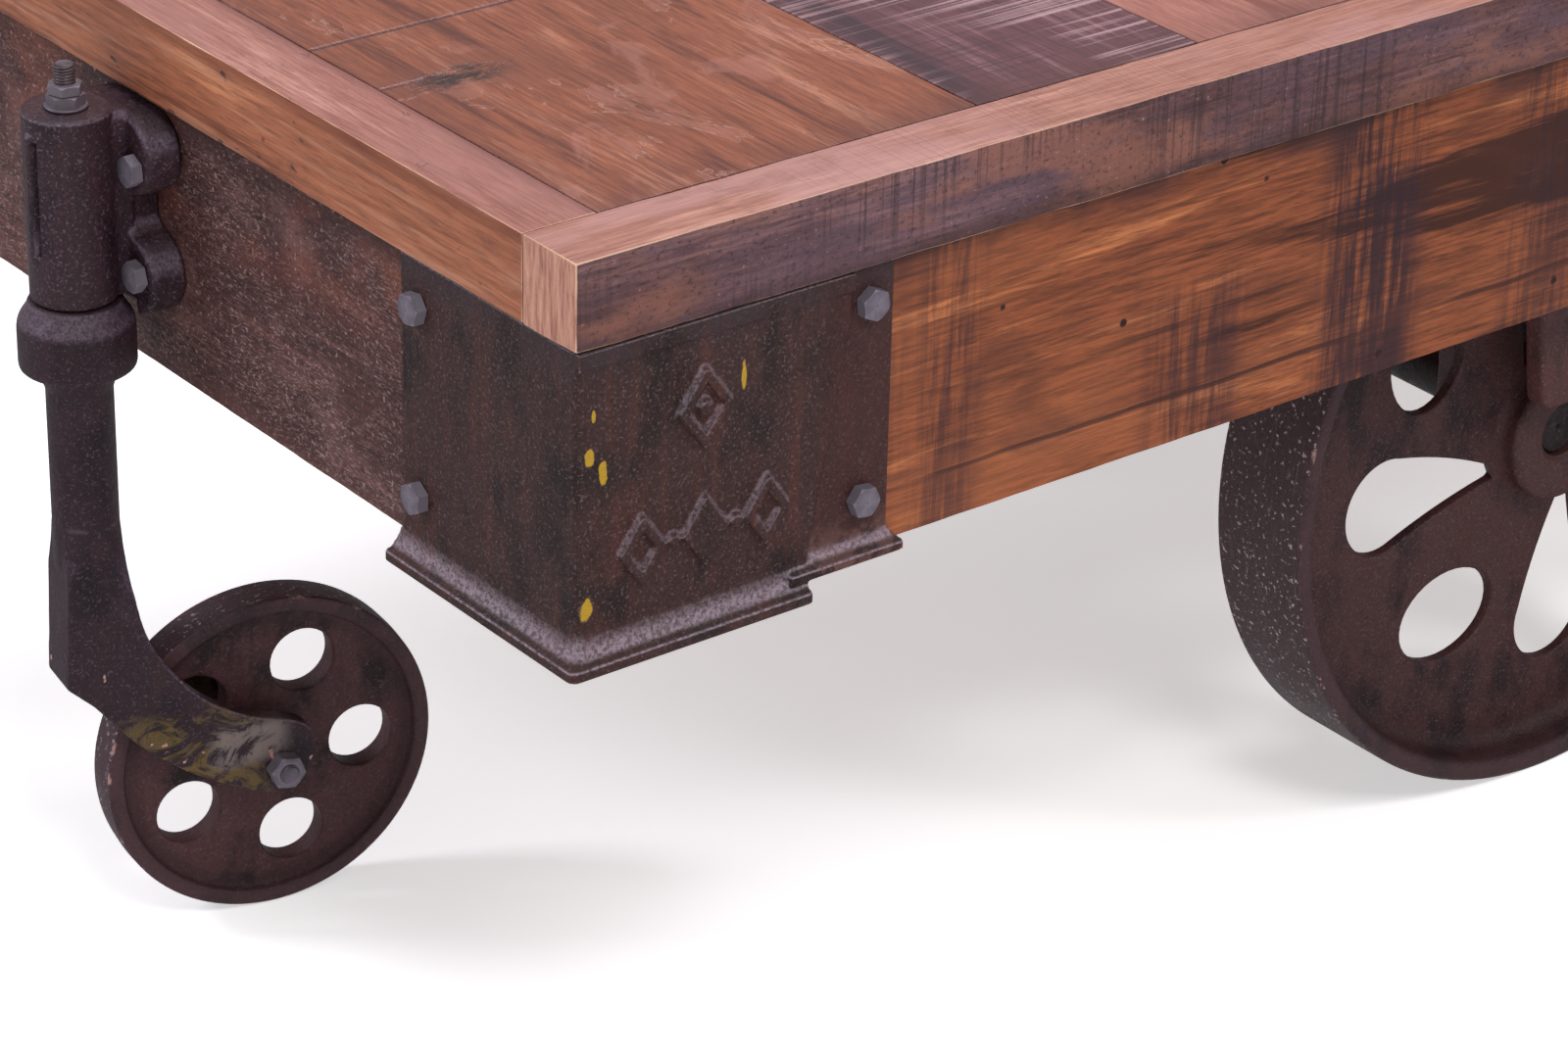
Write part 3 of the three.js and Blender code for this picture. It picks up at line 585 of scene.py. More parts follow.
def web_with_holes(name, radius, holes, near, far, soft):
    """A disc between two depths, with holes through it, whose hole edges are rounded."""
    curve = bpy.data.curves.new(name, "CURVE")
    curve.dimensions = "2D"
    curve.fill_mode = "BOTH"
    curve.extrude = ((far - near) / 2 - soft) * MM
    curve.bevel_depth = soft * MM
    curve.bevel_resolution = 3
    rim = arc((0, 0), radius, 0, 360 - 360 / WHEEL_SEGMENTS, WHEEL_SEGMENTS - 1)
    for outline in [rim, *holes]:
        spline = curve.splines.new("POLY")
        spline.points.add(len(outline) - 1)
        for point, (x, y) in zip(spline.points, outline):
            point.co = (x * MM, y * MM, 0, 1)
        spline.use_cyclic_u = True
    curve.offset = -soft * MM
    obj = bpy.data.objects.new(name, curve)
    bpy.context.scene.collection.objects.link(obj)
    obj.location.z = (near + far) / 2 * MM
    bpy.context.view_layer.update()
    graph = bpy.context.evaluated_depsgraph_get()
    mesh = bpy.data.meshes.new_from_object(obj.evaluated_get(graph))
    mesh.transform(obj.matrix_world)
    bpy.data.objects.remove(obj)
    return welded(mesh)


def welded(mesh):
    """The mesh with the points that lie on each other joined, so that its surface is closed."""
    work = bmesh.new()
    work.from_mesh(mesh)
    bmesh.ops.remove_doubles(work, verts=work.verts, dist=0.01 * MM)
    bmesh.ops.recalc_face_normals(work, faces=work.faces)
    work.to_mesh(mesh)
    work.free()
    return mesh


def main_wheel_mesh():
    rim = MAIN_RADIUS
    profile = [
        *fillet((rim - 21, WEB_NEAR), (rim - 12, WEB_NEAR), (rim - 11, WEB_NEAR - 9), 8),
        *fillet((rim - 10.2, 4), (rim - 9.4, 0.6), (rim - 6, 0.2), 6),
        *fillet((rim - 3.4, 0), (rim, 0), (rim, 3.2), 6),
        *fillet((rim, MAIN_WIDTH - 1.2), (rim, MAIN_WIDTH), (rim - 1.2, MAIN_WIDTH), 4),
        *fillet((rim - 8, MAIN_WIDTH), (rim - 10, MAIN_WIDTH), (rim - 10.2, MAIN_WIDTH - 2), 4),
        *fillet((rim - 11, WEB_FAR + 9), (rim - 12, WEB_FAR), (rim - 21, WEB_FAR), 8),
    ]
    # the band is a closed ring that laps a little way over the web's edge
    band = turned(profile, WHEEL_SEGMENTS, closed=True)
    hub_profile = [
        *fillet((42, WEB_NEAR + 0.4), (35.5, WEB_NEAR - 1), (35.6, 12), 5),
        *fillet((36.2, 9.5), (36, 6.6), (31, 6.3), 6),
        *fillet((24, 6.3), (18, 6.6), (MAIN_BORE + 1.6, 8.6), 5),
        (MAIN_BORE, 10.6),
        (MAIN_BORE, MAIN_WIDTH - 1),
        (MAIN_BORE + 1, MAIN_WIDTH),
        (28.8, MAIN_WIDTH),
        (30, MAIN_WIDTH - 1.2),
        *fillet((31.5, 38), (33, WEB_FAR), (40, WEB_FAR - 0.4)),
    ]
    hub = turned(hub_profile, 96, closed=True)
    holes = [shape(start + 90 * i) for i in range(4) for shape, start in ((teardrop, 187.9), (oval, 235.7))]
    web = web_with_holes("web", rim - 15, holes, WEB_NEAR, WEB_FAR, 1.6)
    bore = turned([(0, -5), (MAIN_BORE + 6, -5), (MAIN_BORE + 6, MAIN_WIDTH + 5), (0, MAIN_WIDTH + 5)], 64)
    web = combined("web", web, ("DIFFERENCE", bore))
    mesh = combined("main_wheel", web, ("UNION", turned_out(hub)), ("UNION", turned_out(band)))
    # the holes are drawn as seen from the front: X to the right, Z upwards, and depth along Y
    mesh.transform(Matrix(((1, 0, 0, 0), (0, 0, 1, 0), (0, 1, 0, 0), (0, 0, 0, 1))))
    mesh.flip_normals()
    mesh.shade_smooth()
    mesh.set_sharp_from_angle(angle=math.radians(30))
    return mesh


def turned_out(shape):
    """The same ring with its faces looking outwards, whichever way its profile ran."""
    volume = sum(
        shape.points[f[0]].dot(shape.points[f[i]].cross(shape.points[f[i + 1]]))
        for f in shape.faces for i in range(1, len(f) - 1)
    )
    return shape if volume > 0 else Shape(shape.points, [f[::-1] for f in shape.faces])


def hanger_mesh(depth):
    """The casting that hangs over a wheel. Its outer face is at y = 0 and the axle at x = 0, z = 0."""
    half = [(405, 50), (262, 47.8), (222, 42.4)]
    corner = [(z, x) for x, z in fillet((42.1, 221), (41.5, 213), (32, 213), 7)]
    heights = [(z - MAIN_RADIUS, x) for z, x in half + corner]

    def front(inset):
        """The front plate's outline, smaller by the inset except at its top."""
        right = [(x - inset, max(z, heights[-1][0] + inset)) for z, x in heights]
        return right[::-1] + [(-x, z) for x, z in right]

    depths = [(1.8, 0.0), (0.7, 0.5), (0.0, 1.8), (0.0, 11.0), (0.6, 12.0)]
    plate = turned_out(loft([[(x, z, -y) for x, z in front(inset)] for inset, y in reversed(depths)]).placed(spin(90, "X")))
    top, under = 405 - MAIN_RADIUS, 376 - MAIN_RADIUS
    leg_front = depth - 12
    bridge = box((-35, 35), (2, depth - 2), (under, top))
    leg = turned_out(upright([(-28, 0), (28, 0), (35, under), (35, top), (-35, top), (-35, under)], leg_front, depth))
    eye = turned([(0, leg_front), (28, leg_front), (28, depth - 0.6), (27.4, depth), (0, depth)], 64).placed(ALONG_Y)
    parts = [plate, bridge, leg, eye]
    hole = turned([(0, -9), (14.3, -9), (14.3, 120), (0, 120)], 48).placed(ALONG_Y)
    skin = softened("axle_hanger", together(parts), 1.2, 3)
    mesh = combined("axle_hanger", skin, ("DIFFERENCE", hole))
    mesh.shade_smooth()
    return mesh


def axle_mesh(reach):
    """The shaft with chamfered ends, each with its split pin and a small dimple cut into the end."""
    r = 14.0
    shaft = turned([(0, -reach), (r - 1.5, -reach), (r, -reach + 1.5), (r, reach - 1.5), (r - 1.5, reach), (0, reach)], 64)
    dimple = turned([(0, -2.2), (3.0, 0.2), (0, 0.2)], 32)
    parts = [shaft]
    for end in (-1, 1):
        turn = Matrix.Identity(4) if end > 0 else spin(180, "X")
        pin = turned([(0, -15.5), (1.5, -15.5), (1.5, 15.5), (0, 15.5)], 20).placed(ALONG_X)
        parts.append(pin.placed(turn @ move(z=reach - 2.4)))
    shape = together(parts)
    mesh = combined("main_axle", shape, *[("DIFFERENCE", dimple.placed(move(z=reach) if end > 0 else spin(180, "X") @ move(z=reach))) for end in (-1, 1)])
    mesh.transform(ALONG_Y)
    mesh.shade_smooth()
    mesh.set_sharp_from_angle(angle=math.radians(32))
    return mesh


def add_main_wheels(paints):
    wheel = main_wheel_mesh()
    for name, side in (("front", -1), ("back", 1)):
        low, high = (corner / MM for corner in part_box(f"main_wheel_{name}"))
        facing = spin(0 if side < 0 else 180, "Z")
        place = move(0, low.y if side < 0 else high.y, MAIN_RADIUS) @ facing
        obj = new_object(f"main_wheel_{name}_look", wheel, place)
        show(obj, paints["main_wheel"], [f"main_wheel_{name}"])
        low, high = (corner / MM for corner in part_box(f"axle_hanger_{name}"))
        hanger = new_object(
            f"axle_hanger_{name}_look", hanger_mesh(high.y - low.y),
            move(0, low.y if side < 0 else high.y, MAIN_RADIUS) @ facing)
        show(hanger, paints["hanger"], [f"axle_hanger_{name}"])
    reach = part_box("main_axle")[1].y / MM
    axle = new_object("main_axle_look", axle_mesh(reach), move(z=MAIN_RADIUS))
    show(axle, paints["axle"], ["main_axle"])


# ---- casters --------------------------------------------------------------------------
# Each caster is drawn with its swivel axis on Z and the end rail towards +X.

BARREL_LOW, BARREL_TOP, BARREL_RADIUS = 328.0, 416.9, 19.8
EAR_BACK = 36.7
EAR_THICKNESS = 17.0
TRAIL = 82.0
CASTER_RADIUS = 81.0
CASTER_YAW = -10.0


def ear_outline(inset):
    """Two round lobes on each side, with a waist between them. Drawn across and upwards."""
    r = 19 - inset
    upper, lower, across, waist = 395, 338, 15, 13 - inset * 0.6
    left = arc((-across, upper), r, 90, 262, 14)
    left += fillet((-across - 2, upper - r - 0.4), (-waist + 1.5, (upper + lower) / 2 + 6), (-waist, (upper + lower) / 2), 5)
    left += fillet((-waist, (upper + lower) / 2), (-waist + 1.5, (upper + lower) / 2 - 6), (-across - 2, lower + r + 0.4), 5)[1:]
    left += arc((-across, lower), r, 98, 270, 14)
    return left + [(-x, z) for x, z in reversed(left)]


def caster_bracket_mesh():
    depth = [(3.0, 0.0), (1.8, 0.3), (0.8, 0.9), (0.25, 1.8), (0.0, 3.2), (0.0, EAR_THICKNESS)]
    face = EAR_BACK - EAR_THICKNESS
    # the loft's height is the distance from the rail, and is turned to lie along -X
    rings = [[(-across, z - 366, EAR_BACK - face - d) for across, z in ear_outline(inset)] for inset, d in reversed(depth)]
    turn = Matrix(((0, 0, -1, EAR_BACK), (1, 0, 0, 0), (0, 1, 0, 366), (0, 0, 0, 1)))
    ears = turned_out(loft(rings).placed(turn))
    barrel = turned([
        (0, BARREL_LOW), (BARREL_RADIUS - 0.8, BARREL_LOW), (BARREL_RADIUS, BARREL_LOW + 0.8),
        (BARREL_RADIUS, 408), (BARREL_RADIUS - 0.1, 412),
        *fillet((BARREL_RADIUS + 0.2, BARREL_TOP - 2), (BARREL_RADIUS + 0.3, BARREL_TOP), (BARREL_RADIUS - 1.4, BARREL_TOP), 4),
        (0, BARREL_TOP)], 96)
    neck = loft([[(x, y * w, z) for x, y in ((8, -1), (face + 3, -1.1), (face + 3, 1.1), (8, 1))]
                 for z, w in ((BARREL_LOW + 1, 13), (350, 13.5), (380, 13.5), (BARREL_TOP - 5, 14.5), (BARREL_TOP - 0.8, 12.5))])
    # a raised strip beside the slot, on the barrel's outboard side
    strip = box((-21.0, -16), (2.0, 5.4), (348, 408)).placed(spin(13, "Z"))
    slot = box((-30, -13.5), (-1.6, 1.9), (352, 406)).placed(spin(13, "Z"))
    bore = turned([(0, 300), (9.4, 300), (9.4, 440), (0, 440)], 48)
    collar_room = turned([(0, 300), (28, 300), (28, BARREL_LOW), (0, BARREL_LOW)], 64)
    bolt_seats = [
        turned([(0, -3), (8.6, -3), (8.6, 0.8), (0, 0.8)], 32).placed(move(face, y, z) @ ALONG_X)
        for y in (-23, 23) for z in (340.5, 390.5)
    ]
    bolt_holes = [
        turned([(0, -8), (4.3, -8), (4.3, 20), (0, 20)], 24).placed(move(face, y, z) @ ALONG_X)
        for y in (-23, 23) for z in (340.5, 390.5)
    ]
    skin = softened("caster_bracket", together([ears, barrel, neck, strip]), 0.9, 6)
    cutters = together([slot, bore])
    mesh = combined("caster_bracket", skin, ("DIFFERENCE", cutters), ("DIFFERENCE", collar_room), ("DIFFERENCE", together(bolt_holes)))
    mesh.shade_smooth()
    return mesh


FORK_SIDE = [
    (-13.5, 218), (-14.5, 190), (-15.8, 160), (-17, 139), (-5.5, 129), (14.5, 106), (38.5, 87), (59.5, 75), (74, 69),
    (87, 70), (95, 76), (98.5, 85), (97, 97), (89, 104), (68, 111), (46.5, 124), (30.5, 142), (19.5, 162), (15, 186), (13.5, 218),
]
FORK_HALF_WIDTH = 24.0


def crossed(points):
    """A closed outline from half of it, given as (along, half width) points."""
    return [(along, half) for along, half in points] + [(along, -half) for along, half in reversed(points)]


def caster_leg_meshes():
    """The casting, and the threaded end of its stem."""
    heel = FORK_SIDE[:4]
    round_part = curve_through(FORK_SIDE[4:], 5)
    side = turned_out(upright(heel + round_part, -40, 40))
    plan_half = curve_through([(-19, 12.5), (-5, 17), (12, 22.3), (26, FORK_HALF_WIDTH), (60, FORK_HALF_WIDTH)], 5) + [(101, FORK_HALF_WIDTH)]
    plan = turned_out(prism(crossed(plan_half), 40, 300))
    front_half = curve_through([(60, FORK_HALF_WIDTH), (140, FORK_HALF_WIDTH), (165, 21.8), (185, 18.6), (205, 16), (222, 14.8)], 5)
    front = turned_out(upright([(half, z) for z, half in front_half] + [(-half, z) for z, half in reversed(front_half)], -150, 150).placed(spin(90, "Z")))
    # the crown's top is as round as the stem that it grows out of
    round_top = turned([(0, 30), (120, 30), (120, 135), *curve_through([(34, 165), (22.8, 185), (17.6, 203), (15.6, 221)], 6), (0, 221)], 96)
    crown = combined("crown", side, ("INTERSECT", plan), ("INTERSECT", front), ("INTERSECT", round_top))
    stem = turned([
        (0, 196), (15.2, 196), (15.2, 284),
        *fillet((17.4, 290), (18.4, 294), (22, 294), 4),
        *fillet((COLLAR - 2.2, 294), (COLLAR, 294), (COLLAR, 296.4), 4),
        *fillet((COLLAR, 313), (COLLAR, 318), (COLLAR - 2.6, 321), 5),
        *fillet((COLLAR - 3.8, 322.6), (21.4, 324.8), (20.6, 327.5), 5),
        (9, 327.5), (9, 412), (0, 412),
    ], 96)
    axle_eye = [
        turned([(0, 20), (10.5, 20), (10.5, FORK_HALF_WIDTH - 0.3), (9.7, FORK_HALF_WIDTH), (0, FORK_HALF_WIDTH)], 48)
        .placed(move(TRAIL, 0, CASTER_RADIUS) @ spin(side_turn, "X")) for side_turn in (90, -90)
    ]
    crown_shape = crown
    whole = merged_meshes("caster_leg", [crown_shape, new_mesh("stem", together([stem]))])
    skin = softened("caster_leg", whole, 1.0, 2)
    slot = turned([(0, -15), (87, -15), (87, 15), (0, 15)], 128).placed(move(TRAIL, 0, CASTER_RADIUS) @ ALONG_Y)
    hole = turned([(0, -40), (5.3, -40), (5.3, 40), (0, 40)], 32).placed(move(TRAIL, 0, CASTER_RADIUS) @ ALONG_Y)
    cut = combined("caster_leg", skin, ("DIFFERENCE", slot))
    mesh = softened("caster_leg", cut, 0.9, 4)
    mesh = combined("caster_leg", mesh, ("DIFFERENCE", hole))
    mesh.shade_smooth()
    stud = new_mesh("stud", thread(4.9, 405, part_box("caster_leg_left")[1].z / MM), sharp_angle=60)
    return mesh, stud


COLLAR = 26.4


def merged_meshes(name, meshes):
    """Several meshes as one, without joining their surfaces."""
    points, faces = [], []
    for mesh in meshes:
        start = len(points)
        points += [v.co / MM for v in mesh.vertices]
        faces += [tuple(start + i for i in polygon.vertices) for polygon in mesh.polygons]
    return Shape(points, faces)


def caster_wheel_mesh():
    rim, half, web, hub_half, bore = CASTER_RADIUS, 10.0, 6.0, 14.4, 5.3
    near_side = [
        *fillet((rim - 15, web), (rim - 9.6, web), (rim - 8.8, web + 1.6), 5),
        *fillet((rim - 8.2, half - 0.9), (rim - 8, half), (rim - 7, half), 3),
        *fillet((rim - 2, half), (rim - 0.5, half), (rim - 0.4, half - 1.5), 4),
    ]
    crown = (rim, 0)
    band_profile = [(r, z) for r, z in near_side] + [crown] + [(r, -z) for r, z in reversed(near_side)]
    band = turned_out(turned(band_profile, 144, closed=True))
    hub_side = [
        *fillet((26, web - 0.3), (18.5, web + 0.2), (16.8, 9.5), 5),
        *fillet((16, hub_half - 1), (16, hub_half), (15, hub_half), 3),
        (bore + 0.8, hub_half), (bore, hub_half - 0.8),
    ]
    hub_profile = hub_side + [(r, -z) for r, z in reversed(hub_side)]
    hub = turned_out(turned(hub_profile, 72, closed=True))
    holes = [arc(polar(67 + 72 * i, 47), 15.8, 0, 350, 35) for i in range(5)]
    web_mesh = web_with_holes("caster_web", rim - 11, holes, -web, web, 1.5)
    core = turned([(0, -40), (bore + 4, -40), (bore + 4, 40), (0, 40)], 48)
    web_mesh = combined("caster_web", web_mesh, ("DIFFERENCE", core))
    mesh = combined("caster_wheel", web_mesh, ("UNION", hub), ("UNION", band))
    mesh.transform(spin(90, "X"))
    mesh.shade_smooth()
    mesh.set_sharp_from_angle(angle=math.radians(30))
    return mesh


def caster_axle_bolt_mesh():
    outer = FORK_HALF_WIDTH + 0.3
    head = hexagon(15, 6).placed(spin(-90, "X") @ spin(12, "Z")).placed(move(y=outer))
    nut = hexagon(15, 7.5, hole=4.7).placed(spin(90, "X") @ spin(20, "Z")).placed(move(y=-outer))
    shank = turned([(0, -outer - 1), (5, -outer - 1), (5, outer + 1), (0, outer + 1)], 32).placed(ALONG_Y)
    tail = thread(5, outer, outer + 9, 28).placed(spin(90, "X"))
    return new_mesh("caster_axle_bolt", together([head, nut, shank, tail]), sharp_angle=32)


def add_casters(paints):
    bracket = caster_bracket_mesh()
    leg, stud = caster_leg_meshes()
    wheel = caster_wheel_mesh()
    axle_bolt = caster_axle_bolt_mesh()
    ear_bolt = through_bolt("ear_bolt", EAR_THICKNESS + RAIL_THICKNESS + 0.6)
    lock_nut = hexagon(14, 4.4, hole=4.6).placed(move(z=5.6) @ spin(22, "Z"))
    nut = new_mesh("swivel_nut", together([hexagon(15, 5.2, hole=4.6), lock_nut]), sharp_angle=32)
    plate = new_mesh("swivel_washer", washer(9.6, 5.2, 1.2), sharp_angle=32)
    swivel_joint = next(joint for joint in frame["joints"] if joint["name"] == "caster_swivel_left")
    swivel_x = -swivel_joint["pos_m"][0] / MM
    for name, end in (("left", -1), ("right", 1)):
        seat = move(end * swivel_x) @ spin(0 if end < 0 else 180, "Z")
        turn = seat @ spin(CASTER_YAW, "Z")
        obj = new_object(f"caster_bracket_{name}_look", bracket, seat)
        show(obj, paints["caster"], [f"caster_bracket_{name}"])
        for number in (1, 2, 3, 4):
            node = f"caster_bracket_bolt_{name}_{number}"
            place_bolt(node, ear_bolt, (end, 0, 0), 13 * number + 7 * end, paints["steel"])
        show(new_object(f"caster_leg_{name}_look", leg, turn), paints["leg"], [f"caster_leg_{name}"])
        swivel = f"swivel_{name}"
        show(new_object(f"swivel_stud_{name}", stud, turn), paints["dull_steel"], body=swivel)
        washer_place = turn @ move(z=BARREL_TOP + 0.2)
        show(new_object(f"swivel_washer_{name}", plate, washer_place), paints["dull_steel"], body=swivel)
        nut_place = turn @ move(z=BARREL_TOP + 1.4) @ spin(8, "Z")
        show(new_object(f"swivel_nut_{name}_look", nut, nut_place), paints["dull_steel"], [f"swivel_nut_{name}"])
        axle_place = turn @ move(TRAIL, 0, CASTER_RADIUS)
        show(new_object(f"caster_wheel_{name}_look", wheel, axle_place), paints["caster_wheel"], [f"caster_wheel_{name}"])
        show(new_object(f"caster_axle_bolt_{name}_look", axle_bolt, axle_place), paints["steel"], [f"caster_axle_bolt_{name}"])


# ---- woodwork -------------------------------------------------------------------------


def add_woodwork(paints):
    for side in ("front", "back"):
        show(board(f"border_{side}_look", f"deck_border_{side}", 1.5, 0.3), paints["border_long"], [f"deck_border_{side}"])
        show(board(f"side_rail_{side}_look", f"side_rail_{side}", 1.0, 0.25), paints["side_rail"], [f"side_rail_{side}"])
    for end in ("left", "right"):
        show(board(f"border_{end}_look", f"deck_border_{end}", 1.3, 0.3), paints["border_end"], [f"deck_border_{end}"])
        show(board(f"end_rail_{end}_look", f"end_rail_{end}", 1.0, 0.3), paints["end_rail"], [f"end_rail_{end}"])
        show(board(f"beam_{end}_look", f"cross_beam_{end}", 1.8, 0.5), paints["beam"], [f"cross_beam_{end}"])
    for number in range(1, 8):
        grooves = [(208, -5, 300), (154, -5, 37)] if number == 1 else []
        plank = board(f"plank_{number}_look", f"deck_plank_{number}", 0.8, 0.22, grooves)
        show(plank, paints[f"plank_{number}"], [f"deck_plank_{number}"])


# ---- paints ---------------------------------------------------------------------------


def srgb(red, green, blue):
    """A colour given as it looks on a screen, 0 to 255, as the shader wants it."""
    def linear(value):
        value /= 255
        return value / 12.92 if value <= 0.04045 else ((value + 0.055) / 1.055) ** 2.4
    return (linear(red), linear(green), linear(blue), 1.0)


class Paint:
    """A short way to write a material's node tree. Lengths in it are metres, and scales are per metre."""

    def __init__(self, name):
        self.material = bpy.data.materials.new(name)
        self.material.use_nodes = True
        self.tree = self.material.node_tree
        self.shader = self.tree.nodes["Principled BSDF"]
        coordinates = self.tree.nodes.new("ShaderNodeTexCoord")
        self.place = coordinates.outputs["Object"]
        self.x, self.y, self.z = self.split(self.place)
        self.facing = self.split(coordinates.outputs["Normal"])

    def node(self, kind, values, **settings):
        node = self.tree.nodes.new(kind)
        for key, value in settings.items():
            setattr(node, key, value)
        for key, value in values.items():
            if isinstance(value, bpy.types.NodeSocket):
                self.tree.links.new(value, node.inputs[key])
            elif value is not None:
                node.inputs[key].default_value = value
        return node

    def split(self, vector):
        return self.node("ShaderNodeSeparateXYZ", {0: vector}).outputs[:]

    def math(self, operation, a, b=None, c=None):
        return self.node("ShaderNodeMath", {0: a, 1: b, 2: c}, operation=operation).outputs[0]

    def stretch(self, x, y, z, shift=(0.0, 0.0, 0.0), vector=None):
        values = {"Vector": vector or self.place, "Scale": (x, y, z), "Location": shift}
        return self.node("ShaderNodeMapping", values).outputs[0]

    def noise(self, vector, scale=1.0, detail=3.0, roughness=0.55, distortion=0.0):
        values = {"Vector": vector, "Scale": scale, "Detail": detail, "Roughness": roughness, "Distortion": distortion}
        return self.node("ShaderNodeTexNoise", values).outputs[0]

    def band(self, value, low, high, start=0.0, end=1.0):
        """Goes smoothly from start to end while the value goes from low to high."""
        values = {"Value": value, "From Min": low, "From Max": high, "To Min": start, "To Max": end}
        return self.node("ShaderNodeMapRange", values, interpolation_type="SMOOTHSTEP").outputs[0]

    def hump(self, value, centre, half_width, soft):
        """One inside a stretch of values, falling to zero beyond it."""
        off = self.math("ABSOLUTE", self.math("SUBTRACT", value, centre))
        return self.band(off, half_width, half_width + soft, 1.0, 0.0)

    def times(self, *values):
        result = values[0]
        for value in values[1:]:
            result = self.math("MULTIPLY", result, value)
        return result

    def plus(self, a, b):
        return self.math("ADD", a, b)

    def mix(self, factor, a, b, mode="MIX"):
        values = {0: factor, 6: a, 7: b}
        return self.node("ShaderNodeMix", values, data_type="RGBA", blend_type=mode).outputs[2]

    def ramp(self, value, stops):
        node = self.node("ShaderNodeValToRGB", {0: value})
        elements = node.color_ramp.elements
        while len(elements) < len(stops):
            elements.new(1.0)
        for element, (position, colour) in zip(elements, stops):
            element.position, element.color = position, colour
        return node.outputs[0]

    def wear(self):
        return self.node("ShaderNodeAttribute", {}, attribute_name="wear").outputs["Fac"]

    def finish(self, colour, roughness, height=None, depth=0.0004, specular=0.5, metallic=0.0, coat=0.0, coat_roughness=0.2):
        if height is not None:
            bump = self.node("ShaderNodeBump", {"Height": height, "Strength": 1.0, "Distance": depth})
            self.tree.links.new(bump.outputs[0], self.shader.inputs["Normal"])
        settings = {
            "Base Color": colour, "Roughness": roughness, "Specular IOR Level": specular,
            "Metallic": metallic, "Coat Weight": coat, "Coat Roughness": coat_roughness,
        }
        for key, value in settings.items():
            if isinstance(value, bpy.types.NodeSocket):
                self.tree.links.new(value, self.shader.inputs[key])
            else:
                self.shader.inputs[key].default_value = value
        return self.material


class Grain:
    """The layers of one sawn board whose grain runs along X or Y."""

    def __init__(self, paint, axis, seed=0.0, waviness=1.0):
        self.paint, self.axis, self.seed = paint, axis, seed
        self.figure = paint.noise(self.along(2.2, 17), detail=5, distortion=0.9 * waviness)
        self.streaks = paint.noise(self.along(11, 260), detail=4, roughness=0.7, distortion=0.45 * waviness)
        self.fibres = paint.noise(self.along(34, 560), detail=3, roughness=0.7)
        self.pores = paint.noise(self.along(110, 1300), detail=2)

    def along(self, lengthwise, across, shift=0.0):
        s = self.seed + shift
        scales = (lengthwise, across, across) if self.axis == "X" else (across, lengthwise, across)
        return self.paint.stretch(*scales, shift=(s, s * 1.7, s * 0.6))

    def colours(self, pale, main, deep):
        p = self.paint
        tone = p.plus(p.times(self.figure, 0.62), p.times(self.streaks, 0.38))
        base = p.ramp(tone, [(0.38, deep), (0.47, main), (0.55, main), (0.64, pale)])
        fine = p.band(self.fibres, 0.35, 0.68)
        base = p.mix(p.times(fine, 0.6), base, deep)
        pore = p.band(self.pores, 0.62, 0.7)
        return p.mix(p.times(pore, 0.5), base, deep)

    def saw(self, amount_low=0.5, amount_high=0.62, pitch=420.0, shift=3.0):
        """Marks that a saw left across the grain, in patches."""
        p = self.paint
        lines = p.noise(self.along(pitch, 5, shift), detail=2, roughness=0.5)
        patches = p.noise(self.along(5, 9, shift + 5), detail=2)
        return p.times(p.band(lines, 0.5, 0.66), p.band(patches, amount_low, amount_high))

    def stains(self, scale=11.0, low=0.54, high=0.7, shift=9.0):
        p = self.paint
        return p.band(p.noise(self.along(scale, scale * 1.8, shift), detail=5, roughness=0.6, distortion=0.5), low, high)

    def height(self):
        p = self.paint
        return p.plus(p.times(self.fibres, 0.45), p.plus(p.times(self.streaks, 0.5), p.times(self.pores, -0.15)))


def scratches(p, angle, scale_long, scale_short, low, high, shift=0.0):
    """Fine lines in one direction on an upright face or a top."""
    turned_place = p.node("ShaderNodeMapping", {"Vector": p.place, "Rotation": angle}).outputs[0]
    lines = p.noise(p.stretch(scale_long, scale_short, scale_short, (shift, shift, shift), turned_place), detail=2, roughness=0.7)
    return p.band(lines, low, high)


CREAM = srgb(232, 190, 158)
SOOT = srgb(52, 34, 36)
DARK_BROWN = srgb(70, 42, 38)


def worn_edge(p, colour, pale, wear_low=0.35, scale=60.0, amount=0.8):
    """A pale worn line along the arrises, broken up by noise."""
    patchy = p.band(p.noise(p.stretch(scale, scale, scale), detail=3), 0.34, 0.56)
    line = p.times(p.band(p.wear(), wear_low, 0.95), patchy, amount)
    return p.mix(line, colour, pale)


